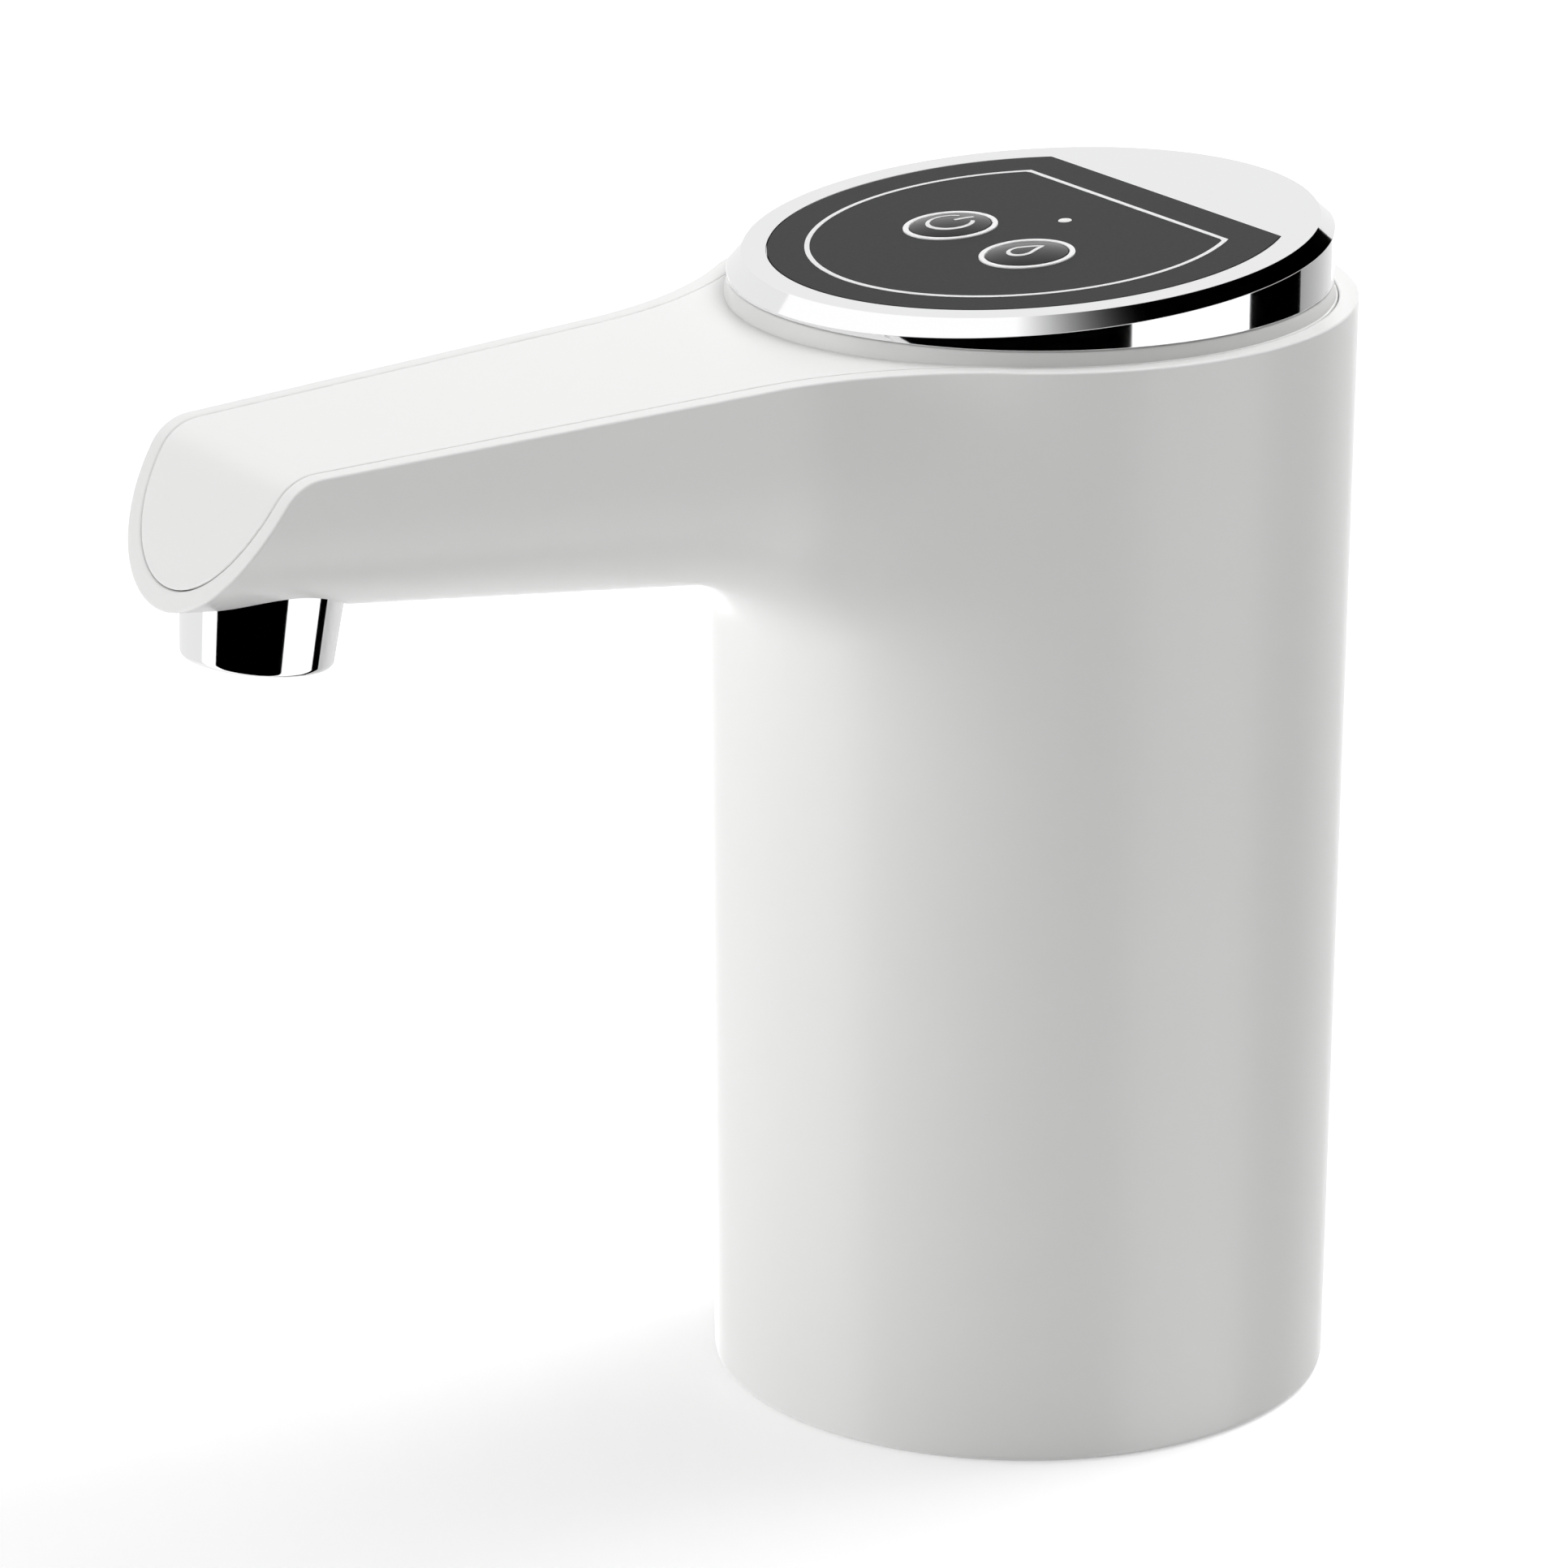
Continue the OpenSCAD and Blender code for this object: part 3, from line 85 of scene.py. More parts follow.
# Body shell: the upright drum and the spout's open channel, moulded as one white ABS piece.
# The channel's sides and round keel flare into the drum in one smooth sweep. A narrow land
# runs round its top edge, with a step inside it that the top cover drops into.
shell_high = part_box("body_shell")[1] / MM
RIM_Z = shell_high.z
RIM_R = shell_high.x
DRUM_TAPER = 1.2
WALL = 2.2
SPOUT_REACH = 98.0
SPOUT_HALF = 15.0
SPOUT_FLARE = math.radians(3.5)
SPOUT_RISE = math.radians(2.76)
TOP_FALL = math.radians(2.75)
FALL_START = 23.0
AXIS_DROP = 1.66
NOSE_R = 120.0
NOSE_LEAN = math.radians(33.8)
NOSE_AHEAD = 1.8
CREST_R = 5.6
SHOULDER_RUN = 52.6
JOIN_ANGLE = math.radians(49.6)
JOIN_Z = 116.4
JOIN_DROP = 28.4
LAND_W = 2.2
COVER_T = 2.0
LEDGE_W = 1.2
LEDGE_T = 1.5
EDGE_ROUND = 0.25
LAND_ROUND = 0.25
FOOT_ROUND = 0.8
FOOT_INNER_ROUND = 0.3

WALL_RAILS = 10
KEEL_RAILS = 96
SIDE_RAILS = 34
MIDDLE_RAIL = WALL_RAILS + KEEL_RAILS // 2
SPOUT_STEPS = 26
BLEND_STEPS = 16
DRUM_STEPS = 18
REAR_COLUMNS = 48
TURN_COLUMNS = 96
PORT_STEPS = 48
ROUND_STEPS = 4
BISECTIONS = 40
MERGE = 0.002
SHARP_ANGLE = math.radians(35)


def top_height(y):
    """Height of the rim: level round the drum, falling along the spout."""
    return RIM_Z - max(0.0, -FALL_START - y) * math.tan(TOP_FALL)


AXIS_Z = top_height(-SPOUT_REACH) - AXIS_DROP
NOSE = Vector((-SPOUT_REACH - NOSE_AHEAD, AXIS_Z))
NOSE += NOSE_R * Vector((math.cos(NOSE_LEAN), -math.sin(NOSE_LEAN)))


def crest_centre():
    """Middle (y, z) of the arc that eases the spout's top into its nose."""
    slope = Vector((math.cos(TOP_FALL), math.sin(TOP_FALL)))
    up = Vector((-math.sin(TOP_FALL), math.cos(TOP_FALL)))
    start = Vector((-FALL_START, RIM_Z)) - CREST_R * up
    gap = start - NOSE
    along = gap.dot(slope)
    reach = (NOSE_R - CREST_R) ** 2
    return start - (along + math.sqrt(along ** 2 - gap.length_squared + reach)) * slope


CREST = crest_centre()
CREST_LEAN = math.atan2(CREST.y - NOSE.y, NOSE.x - CREST.x)
TOP_LEAN = math.pi / 2 - TOP_FALL


def nose_point(lean, depth):
    """Point (y, z) of the nose in side view, where its skin leans back by an angle."""
    centre, radius = (CREST, CREST_R) if lean > CREST_LEAN else (NOSE, NOSE_R)
    return centre + (radius - depth) * Vector((-math.cos(lean), math.sin(lean)))


def spout_point(x, run, rise):
    """Point at a run from the spout's tip along its axis and a rise above that axis."""
    y = run * math.cos(SPOUT_RISE) + rise * math.sin(SPOUT_RISE) - SPOUT_REACH
    z = rise * math.cos(SPOUT_RISE) - run * math.sin(SPOUT_RISE) + AXIS_Z
    return Vector((x, y, z))


def spout_place(y, z):
    """Run along the spout's axis and rise above it of a point in side view."""
    ahead = y + SPOUT_REACH
    above = z - AXIS_Z
    run = ahead * math.cos(SPOUT_RISE) - above * math.sin(SPOUT_RISE)
    return run, ahead * math.sin(SPOUT_RISE) + above * math.cos(SPOUT_RISE)


def half_width(run, inset):
    """Half of the spout's width, which is also the radius of its keel."""
    return SPOUT_HALF - inset + run * math.tan(SPOUT_FLARE)


def drum_point(angle, z, inset):
    """Point on the drum, at an angle round from its front towards +X."""
    radius = RIM_R - DRUM_TAPER * (1 - z / RIM_Z) - inset
    return Vector((radius * math.sin(angle), -radius * math.cos(angle), z))


def keel_lean(turn, inset, depth):
    """Lean of the nose where the rail at a turn round the keel starts."""
    low, high = 0.0, TOP_LEAN
    for _ in range(BISECTIONS):
        lean = (low + high) / 2
        run, rise = spout_place(*nose_point(lean, depth))
        if rise > -half_width(run, inset) * math.sin(turn):
            high = lean
        else:
            low = lean
    return low


def spout_rail(share, turn, inset, depth):
    """Straight part of a rail, from the nose to the shoulder where the flare begins."""
    lean = keel_lean(turn, inset, depth)
    lean += share * (TOP_LEAN - lean)
    start_run, start_rise = spout_place(*nose_point(lean, depth))
    shoulder = spout_point(0, SHOULDER_RUN, 0)
    end_rise = share * (top_height(shoulder.y) - depth - shoulder.z) / math.cos(SPOUT_RISE)
    rail = []
    for i in range(SPOUT_STEPS + 1):
        run = start_run + (SHOULDER_RUN - start_run) * i / SPOUT_STEPS
        half = half_width(run, inset)
        rise = start_rise + (end_rise - start_rise) * i / SPOUT_STEPS
        if not share:
            rise = -half * math.sin(turn)
        rail.append(spout_point(half * math.cos(turn), run, rise))
    return rail


def drum_heading(angle, turn):
    """Unit vector along the drum, straight away from the line where the flare ends."""
    across = math.cos(turn) / (JOIN_ANGLE * RIM_R)
    down = math.sin(turn) / JOIN_DROP
    slope = DRUM_TAPER / RIM_Z
    around = Vector((math.cos(angle), math.sin(angle), 0))
    along = Vector((slope * math.sin(angle), -slope * math.cos(angle), 1))
    return (around * across - along * down).normalized()


def flare(start, start_heading, end, end_heading):
    """A curve that turns from one heading to another as a round arc would."""
    bend = start_heading.angle(end_heading)
    chord = (end - start).length
    handle = chord * math.tan(bend / 4) / math.sin(bend / 2) * 2 / 3
    near = start + handle * start_heading
    far = end - handle * end_heading
    points = []
    for i in range(1, BLEND_STEPS + 1):
        t = i / BLEND_STEPS
        s = 1 - t
        points.append(s ** 3 * start + 3 * s * s * t * near + 3 * s * t * t * far + t ** 3 * end)
    return points


def skin_rail(rail, inset, depth, foot):
    """One line of the skin: from the nose along the spout, over the flare and down the drum."""
    share = max(0.0, 1 - rail / WALL_RAILS)
    turn = max(0, rail - WALL_RAILS) / KEEL_RAILS * math.pi
    points = spout_rail(share, turn, inset, depth)
    angle = JOIN_ANGLE * math.cos(turn)
    z = JOIN_Z - JOIN_DROP * math.sin(turn) + share * (RIM_Z - depth - JOIN_Z)
    heading = (points[-1] - points[-2]).normalized()
    points += flare(points[-1], heading, drum_point(angle, z, inset), drum_heading(angle, turn))
    past_side = max(0.0, (rail - SIDE_RAILS) / (MIDDLE_RAIL - SIDE_RAILS))
    end_angle = math.pi / 2 * (1 - past_side)
    down_side = min(1.0, max(0.0, (rail - WALL_RAILS) / (SIDE_RAILS - WALL_RAILS)))
    end_z = (z if share else JOIN_Z) * (1 - down_side) + foot * down_side
    for i in range(1, DRUM_STEPS + 1):
        t = i / DRUM_STEPS
        points.append(drum_point(angle + (end_angle - angle) * t, z + (end_z - z) * t, inset))
    return points


def mirrored(points):
    """The same points on the other side of the pump."""
    return [Vector((-point.x, point.y, point.z)) for point in points]


def skin(inset, depth, foot):
    """Rails round the channel from edge to edge, and columns round the back of the drum."""
    rails = [skin_rail(rail, inset, depth, foot) for rail in range(MIDDLE_RAIL + 1)]
    for step in range(SPOUT_STEPS + 1, SPOUT_STEPS + BLEND_STEPS):
        edge = rails[0][step]
        lift = top_height(edge.y) - depth - edge.z
        for rail in range(WALL_RAILS):
            rails[rail][step].z += lift * (1 - rail / WALL_RAILS)
    heights = [rail[-1].z for rail in rails[:SIDE_RAILS + 1]]
    rear = []
    for column in range(REAR_COLUMNS + 1):
        angle = math.pi * (0.5 + column / REAR_COLUMNS)
        rear.append([drum_point(angle, z, inset) for z in heights])
    return rails + [mirrored(rail) for rail in reversed(rails[:-1])], rear


def rim_loop(inset, depth):
    """The skin's whole top edge: round the nose, along the left side, the back and the right."""
    rails, rear = skin(inset, depth, 0)
    nose = [rail[0] for rail in rails]
    back = [column[0] for column in reversed(rear[1:-1])]
    return nose + rails[-1][1:] + back + rails[0][:0:-1]


def foot_loop(inset, z):
    """A ring round the foot of the drum."""
    count = 2 * REAR_COLUMNS
    return [drum_point(math.pi * (0.5 - 2 * i / count), z, inset) for i in range(count)]


def quarter(radius):
    """Steps (across, down) over a rounded edge, from its side to its top."""
    turns = [math.pi / 2 * i / ROUND_STEPS for i in range(ROUND_STEPS + 1)]
    return [(radius - radius * math.cos(turn), radius - radius * math.sin(turn)) for turn in turns]


def add_rows(mesh, rows, closed=False):
    """Joins rows of points, each as long as the next, with four-sided faces."""
    lines = [[mesh.verts.new(point) for point in row] for row in rows]
    for upper, lower in zip(lines, lines[1:]):
        for i in range(len(upper) - (0 if closed else 1)):
            j = (i + 1) % len(upper)
            mesh.faces.new((upper[i], upper[j], lower[j], lower[i]))


def closed_piece(name, mesh):
    """Closes a mesh drawn in millimetres and makes it an object in metres."""
    bmesh.ops.remove_doubles(mesh, verts=mesh.verts, dist=MERGE)
    bmesh.ops.recalc_face_normals(mesh, faces=mesh.faces)
    bmesh.ops.scale(mesh, vec=(MM, MM, MM), verts=mesh.verts)
    data = bpy.data.meshes.new(name)
    mesh.to_mesh(data)
    mesh.free()
    piece = bpy.data.objects.new(name, data)
    bpy.context.collection.objects.link(piece)
    return piece


def shade(piece, material):
    """Smooth shading with crisp edges, even over flat faces, and the piece's finish."""
    piece.data.shade_smooth()
    piece.data.set_sharp_from_angle(angle=SHARP_ANGLE)
    even = piece.modifiers.new("even_shading", "WEIGHTED_NORMAL")
    even.keep_sharp = True
    piece.data.materials.clear()
    piece.data.materials.append(material)


def applied(piece):
    """Makes a piece's modifiers part of its mesh."""
    seen = piece.evaluated_get(bpy.context.evaluated_depsgraph_get())
    piece.data = bpy.data.meshes.new_from_object(seen)
    piece.modifiers.clear()


def cut(piece, cutter):
    """Takes a cutter's shape out of a piece, and throws the cutter away."""
    tool = piece.modifiers.new("cut", "BOOLEAN")
    tool.operation = "DIFFERENCE"
    tool.solver = "EXACT"
    tool.object = cutter
    applied(piece)
    bpy.data.objects.remove(cutter)


def turned(profile, place, steps=TURN_COLUMNS):
    """Columns of a profile of (radius, height), turned round the z axis of a place."""
    columns = []
    for i in range(steps + 1):
        angle = 2 * math.pi * i / steps
        spoke = Vector((math.cos(angle), math.sin(angle), 0))
        columns.append([place @ (spoke * radius + Vector((0, 0, z))) for radius, z in profile])
    return columns


def peg(name, place, radius, bottom, top):
    """A plain round cutter."""
    mesh = bmesh.new()
    add_rows(mesh, turned([(0, bottom), (radius, bottom), (radius, top), (0, top)], place))
    return closed_piece(name, mesh)


NOZZLE_BACK = 1.7
NOZZLE_LEN = 6.24
NOZZLE_TILT = math.radians(6.5)
NOZZLE = (
    Matrix.Translation((0, NOZZLE_BACK - SPOUT_REACH, AXIS_Z - SPOUT_HALF - NOZZLE_LEN))
    @ Matrix.Rotation(-NOZZLE_TILT, 4, "X")
)
NOZZLE_HOLE_R = 6.7
NOZZLE_HOLE_TOP = 12.0
PORT_DROP = 9.6
PORT_W = 10.0
PORT_H = 4.2


def port_cutter():
    """The charging port's slot through the rear wall, with round ends."""
    end = (PORT_W - PORT_H) / 2
    middle_z = RIM_Z - PORT_DROP
    outline = []
    for i in range(PORT_STEPS):
        turn = 2 * math.pi * i / PORT_STEPS
        x = PORT_H / 2 * math.cos(turn)
        outline.append((x + math.copysign(end, x), middle_z + PORT_H / 2 * math.sin(turn)))
    depths = (RIM_R - 3 * WALL, RIM_R + WALL)
    rows = [[Vector((x, y, z)) for x, z in outline] for y in depths]
    inner_end, outer_end = [[Vector((0, y, middle_z))] * PORT_STEPS for y in depths]
    mesh = bmesh.new()
    add_rows(mesh, [inner_end] + rows + [outer_end], closed=True)
    return closed_piece("port_cutter", mesh)


def body_shell():
    """The shell's mesh: outer skin, rounded land, step, ledge, inner skin and foot."""
    mesh = bmesh.new()
    ledge = WALL + LEDGE_W
    below = COVER_T + LEDGE_T
    for part in skin(0, EDGE_ROUND, FOOT_ROUND) + skin(WALL, below, FOOT_INNER_ROUND):
        add_rows(mesh, part)
    edges = quarter(EDGE_ROUND) + [(2 * EDGE_ROUND, 0), (LAND_W - 2 * LAND_ROUND, 0)]
    edges += [(LAND_W - across, down) for across, down in reversed(quarter(LAND_ROUND))]
    edges += [(LAND_W, 2 * LAND_ROUND), (LAND_W, COVER_T), (ledge, COVER_T), (ledge, below)]
    edges.append((WALL, below))
    add_rows(mesh, [rim_loop(inset, depth) for inset, depth in edges], closed=True)
    feet = quarter(FOOT_ROUND) + [(2 * FOOT_ROUND, 0)]
    feet += [(WALL - across, up) for across, up in reversed(quarter(FOOT_INNER_ROUND))]
    add_rows(mesh, [foot_loop(inset, z) for inset, z in feet], closed=True)
    return closed_piece("body_shell_moulding", mesh)


def linear(colour):
    """Linear RGBA of an sRGB hex colour, by the standard's own curve."""
    parts = [int(colour[i:i + 2], 16) / 255 for i in (1, 3, 5)]
    return [p / 12.92 if p <= 0.04045 else ((p + 0.055) / 1.055) ** 2.4 for p in parts] + [1.0]


def add(tree, kind, inputs=None, **settings):
    """Adds a node with its settings; an input is a value or the socket that feeds it."""
    node = tree.nodes.new(kind)
    for name, value in settings.items():
        setattr(node, name, value)
    for name, value in (inputs or {}).items():
        if isinstance(value, bpy.types.NodeSocket):
            tree.links.new(value, node.inputs[name])
        else:
            node.inputs[name].default_value = value
    return node


def finish(name, roughness, metallic=0.0, ior=1.5):
    """A new material: its tree, its main shader and its Object coordinates."""
    material = bpy.data.materials.new(name)
    material.use_nodes = True
    tree = material.node_tree
    shader = tree.nodes["Principled BSDF"]
    shader.inputs["Roughness"].default_value = roughness
    shader.inputs["Metallic"].default_value = metallic
    shader.inputs["IOR"].default_value = ior
    return material, tree, shader, add(tree, "ShaderNodeTexCoord").outputs["Object"]


def per_mm(size):
    """Scale of a pattern whose features are a number of millimetres across."""
    return 1 / (size * MM)


def toned(name, light, dark, roughness, clouds=45.0, grain=1.6, depth=0.004, ior=1.53, gloss=0.5):
    """A moulded or printed finish: slow clouds of tone where it flowed, and a fine grain in its
    skin. Clouds and grain are widths in millimetres, drawn wide enough to show in a render."""
    material, tree, shader, place = finish(name, roughness, ior=ior)
    shader.inputs["Specular IOR Level"].default_value = gloss
    flow = add(tree, "ShaderNodeTexNoise", {"Vector": place, "Scale": per_mm(clouds), "Detail": 3})
    ramp = add(tree, "ShaderNodeValToRGB", {"Fac": flow.outputs["Fac"]})
    ramp.color_ramp.elements[0].color = linear(dark)
    ramp.color_ramp.elements[1].color = linear(light)
    peel = add(tree, "ShaderNodeTexNoise", {"Vector": place, "Scale": per_mm(grain)})
    bump = add(tree, "ShaderNodeBump", {"Height": peel.outputs["Fac"], "Distance": depth * MM})
    tree.links.new(ramp.outputs["Color"], shader.inputs["Base Color"])
    tree.links.new(bump.outputs["Normal"], shader.inputs["Normal"])
    return material


# Moulded white ABS: a bright, nearly neutral skin with wide, soft highlights.
white_abs = toned("moulded_white_abs", "#F3F3F2", "#F0F0EF", roughness=0.3)
shell = body_shell()
cut(shell, peg("nozzle_hole", NOZZLE, NOZZLE_HOLE_R, 0, NOZZLE_HOLE_TOP))
cut(shell, port_cutter())
shade(shell, white_abs)
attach(shell, "pump_body")
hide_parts("body_shell")


# Top cover: one thin white ABS panel that drops into the shell's step and clips there. It runs
# from the back of the drum along the spout and bends down over the nose, with a fine dark seam
# round it. A low collar stands on it under the cap.
SEAM = 0.12
COVER_EDGE = 0.2
COVER_COLUMNS = 28
COLLAR_H = 1.6
COLLAR_HOLE_R = 30.6
COLLAR_FOOT_INSET = 0.3
COLLAR_TOP_INSET = 0.7
COLLAR_ROUND = 0.25
CAP_GAP = 0.05
RING_COLUMNS = 192


def rounded(corners):
    """A line through (point, setback) corners, each eased off over its setback."""
    line = []
    for i, (point, setback) in enumerate(corners):
        if not setback:
            line.append(point)
            continue
        before = (corners[i - 1][0] - point).normalized() * setback
        after = (corners[(i + 1) % len(corners)][0] - point).normalized() * setback
        for j in range(ROUND_STEPS + 1):
            t = j / ROUND_STEPS
            line.append(point + before * (1 - t) ** 2 + after * t ** 2)
    return line


def rounded_profile(corners):
    """A closed outline of (radius, height, setback) corners for a turned piece."""
    line = rounded([(Vector((radius, z)), setback) for radius, z, setback in corners])
    return [tuple(point) for point in line + line[:1]]


def cover_face(inset, depth):
    """Rows straight across the cover, from the nose's lowest point to the back of the drum."""
    rails, rear = skin(inset, depth, 0)
    right = [rail[0] for rail in reversed(rails[:MIDDLE_RAIL + 1])]
    right += rails[0][1:] + [column[0] for column in rear[1:REAR_COLUMNS // 2 + 1]]
    rows = []
    for point in right:
        shares = [1 - 2 * i / COVER_COLUMNS for i in range(COVER_COLUMNS + 1)]
        rows.append([Vector((point.x * share, point.y, point.z)) for share in shares])
    return rows


def top_cover():
    """The cover's mesh: face, rounded edge, sides and underside."""
    mesh = bmesh.new()
    outside = LAND_W + SEAM
    add_rows(mesh, cover_face(outside + 2 * COVER_EDGE, 0))
    add_rows(mesh, cover_face(outside, COVER_T))
    edges = [(outside + 2 * COVER_EDGE, 0)]
    edges += [(outside + across, down) for across, down in reversed(quarter(COVER_EDGE))]
    edges += [(outside, 2 * COVER_EDGE), (outside, COVER_T)]
    add_rows(mesh, [rim_loop(inset, depth) for inset, depth in edges], closed=True)
    return closed_piece("top_cover_panel", mesh)


def collar():
    """The low ring on the cover, a little narrower at its top."""
    low, top = RIM_Z - COVER_T / 2, RIM_Z + COLLAR_H - CAP_GAP
    foot_r = RIM_R - LAND_W - COLLAR_FOOT_INSET
    top_r = RIM_R - LAND_W - COLLAR_TOP_INSET
    profile = rounded_profile([
        (COLLAR_HOLE_R, low, 0), (foot_r, low, 0), (foot_r, RIM_Z, 0),
        (top_r, top, COLLAR_ROUND), (COLLAR_HOLE_R, top, 0),
    ])
    mesh = bmesh.new()
    add_rows(mesh, turned(profile, Matrix(), RING_COLUMNS))
    return closed_piece("cover_collar", mesh)


# Moulded cover ABS: a touch whiter and smoother than the shell, as the show side of the pump.
cover_abs = toned("moulded_cover_abs", "#F5F5F4", "#F2F2F1", roughness=0.26)
# Collar ABS with painted shade: greyer, for the shade under the cap; the ring reads as a step.
collar_painted_shade_abs = toned("collar_abs_painted_shade", "#DBDBDA", "#D8D8D7", roughness=0.3)
cover = top_cover()
cut(cover, peg("cap_hole", Matrix(), COLLAR_HOLE_R, RIM_Z - 3 * COVER_T, RIM_Z + COVER_T))
for piece, skin_abs in ((cover, cover_abs), (collar(), collar_painted_shade_abs)):
    shade(piece, skin_abs)
    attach(piece, "pump_body")
    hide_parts("top_cover")


# Cap: a chrome-plated ABS moulding pushed into the collar, with a straight wall, a broad bevel
# and a face that leans towards the user. A D-shaped pocket in the face takes the panel.
CAP_RISE = 6.6
CAP_TILT = math.radians(5)
CAP_INSET = 0.6
CAP_R = RIM_R - LAND_W - CAP_INSET
CAP_BEVEL = 1.5
CAP_SEAT_Z = RIM_Z + COLLAR_H
CAP_PLATE_T = 2.4
CAP_RIM_W = 4.2
CAP_HOLLOW_R = CAP_R - CAP_RIM_W
SKIRT_T = 1.5
SKIRT_H = 3.4
PANEL_MARGIN = 3.2
PANEL_REAR = 13.95
PANEL_AHEAD = 0.4
PANEL_T = 1.15
PANEL_PLAY = 0.1
PANEL_GLUE = 0.05
FACE_R = CAP_R - CAP_BEVEL
PANEL_R = FACE_R - PANEL_MARGIN
PANEL_CHORD = FACE_R - PANEL_REAR
PANEL_OUTLINE = (PANEL_R, PANEL_CHORD, PANEL_AHEAD)
PANEL = Matrix.Translation((0, 0, RIM_Z + CAP_RISE)) @ Matrix.Rotation(CAP_TILT, 4, "X")
BUTTON_X = 7.5
BUTTON_Y = -5.5
BUTTON_HOLE_R = 4.6
LENS_Y = 4.6
LENS_HOLE_R = 0.85
CHORD_COLUMNS = 48
ARC_COLUMNS = 168
BEVEL_ROUND = 0.04
POCKET_ROUND = 0.12
HAZE_W = 9.0


def d_angles(radius, chord, ahead):
    """Angles round a D-shaped outline, with one at each of its corners."""
    corner = math.atan2(chord, math.sqrt(radius ** 2 - (chord + ahead) ** 2))
    straight = math.pi - 2 * corner
    angles = [corner + straight * i / CHORD_COLUMNS for i in range(CHORD_COLUMNS)]
    sweep = 2 * math.pi - straight
    return angles + [math.pi - corner + sweep * i / ARC_COLUMNS for i in range(ARC_COLUMNS + 1)]


def d_edge(angle, radius, chord, ahead):
    """Distance from the panel's middle to a D-shaped outline, whose arc is set ahead of it."""
    rise = math.sin(angle)
    arc = math.sqrt(radius ** 2 - (ahead * math.cos(angle)) ** 2) - ahead * rise
    return min(arc, chord / rise) if rise > 0 else arc


def on_panel(angle, radius, z=0.0):
    """Point above the panel's plane, at an angle and a radius from its middle."""
    return PANEL @ Vector((radius * math.cos(angle), radius * math.sin(angle), z))


def wall_top(angle):
    """Where the sloping bevel meets the cap's upright wall."""
    low, high = 0.0, 2 * CAP_RISE
    for _ in range(BISECTIONS):
        step = (low + high) / 2
        point = on_panel(angle, FACE_R + step, -step)
        if math.hypot(point.x, point.y) > CAP_R:
            high = step
        else:
            low = step
    return point


def cap_column(angle):
    """One section of the cap, from the middle of its pocket over the wall to its underside."""
    edge = d_edge(angle, *PANEL_OUTLINE) + PANEL_PLAY
    top = wall_top(angle)
    out = Vector((top.x, top.y, 0)).normalized()
    seat = Vector((0, 0, CAP_SEAT_Z))
    skirt_foot = Vector((0, 0, CAP_SEAT_Z - SKIRT_H))
    under = CAP_HOLLOW_R * out
    under.z = RIM_Z + CAP_RISE + under.y * math.tan(CAP_TILT) - CAP_PLATE_T / math.cos(CAP_TILT)
    floor = -PANEL_T - PANEL_GLUE
    return rounded([
        (on_panel(angle, 0, floor), 0), (on_panel(angle, edge, floor), 0),
        (on_panel(angle, edge), POCKET_ROUND), (on_panel(angle, FACE_R), BEVEL_ROUND),
        (top, BEVEL_ROUND), (CAP_R * out + seat, POCKET_ROUND),
        ((CAP_HOLLOW_R + SKIRT_T) * out + seat, 0),
        ((CAP_HOLLOW_R + SKIRT_T) * out + skirt_foot, 0), (CAP_HOLLOW_R * out + skirt_foot, 0),
        (under, 0), (on_panel(angle, 0, -CAP_PLATE_T), 0),
    ])


def chrome_plating():
    """Bright chrome over smooth ABS: a mirror with the faintest haze of wiping in it."""
    material, tree, shader, place = finish("bright_chrome_plating", roughness=0.05, metallic=1.0)
    shader.inputs["Base Color"].default_value = linear("#E6E6E7")
    haze = add(tree, "ShaderNodeTexNoise", {"Vector": place, "Scale": per_mm(HAZE_W), "Detail": 4})
    spread = add(tree, "ShaderNodeMapRange", {
        "Value": haze.outputs["Fac"], "To Min": 0.035, "To Max": 0.075,
    })
    tree.links.new(spread.outputs["Result"], shader.inputs["Roughness"])
    return material


def at_button(side):
    """The place of a button on the panel, with its axis square to the face."""
    return PANEL @ Matrix.Translation((side * BUTTON_X, BUTTON_Y, 0))


chrome = chrome_plating()
cap_mesh = bmesh.new()
add_rows(cap_mesh, [cap_column(angle) for angle in d_angles(*PANEL_OUTLINE)])
cap = closed_piece("cap_chromed", cap_mesh)
for side in (-1, 1):
    cut(cap, peg("button_hole", at_button(side), BUTTON_HOLE_R, -2 * CAP_RISE, CAP_RISE))
at_lens = PANEL @ Matrix.Translation((0, LENS_Y, 0))
cut(cap, peg("lens_hole", at_lens, LENS_HOLE_R, -2 * CAP_RISE, CAP_RISE))
shade(cap, chrome)
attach(cap, "pump_body")
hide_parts("chrome_cap")


# Control panel: a dark grey satin plate glued into the cap's pocket, flush with its face.
# A fine white line is screen-printed on it, following its outline.
BEZEL_R = 5.25
BEZEL_PLAY = 0.05
PANEL_ROUND = 0.12
LINE_R = 23.7
LINE_CHORD = 13.0
LINE_AHEAD = 1.2
LINE_W = 0.55
PRINT_T = 0.04


def panel_column(angle):
    """One section of the plate, from the middle of its top to the middle of its back."""
    edge = d_edge(angle, *PANEL_OUTLINE)
    return rounded([
        (on_panel(angle, 0), 0), (on_panel(angle, edge), PANEL_ROUND),
        (on_panel(angle, edge, -PANEL_T), 0), (on_panel(angle, 0, -PANEL_T), 0),
    ])


def line_column(angle):
    """One section of the printed line, a thin film on the plate."""
    outer = d_edge(angle, LINE_R, LINE_CHORD, LINE_AHEAD)
    inner = d_edge(angle, LINE_R - LINE_W, LINE_CHORD - LINE_W, LINE_AHEAD)
    corners = [(inner, -PRINT_T), (inner, PRINT_T), (outer, PRINT_T), (outer, -PRINT_T)]
    return [on_panel(angle, radius, z) for radius, z in corners + corners[:1]]


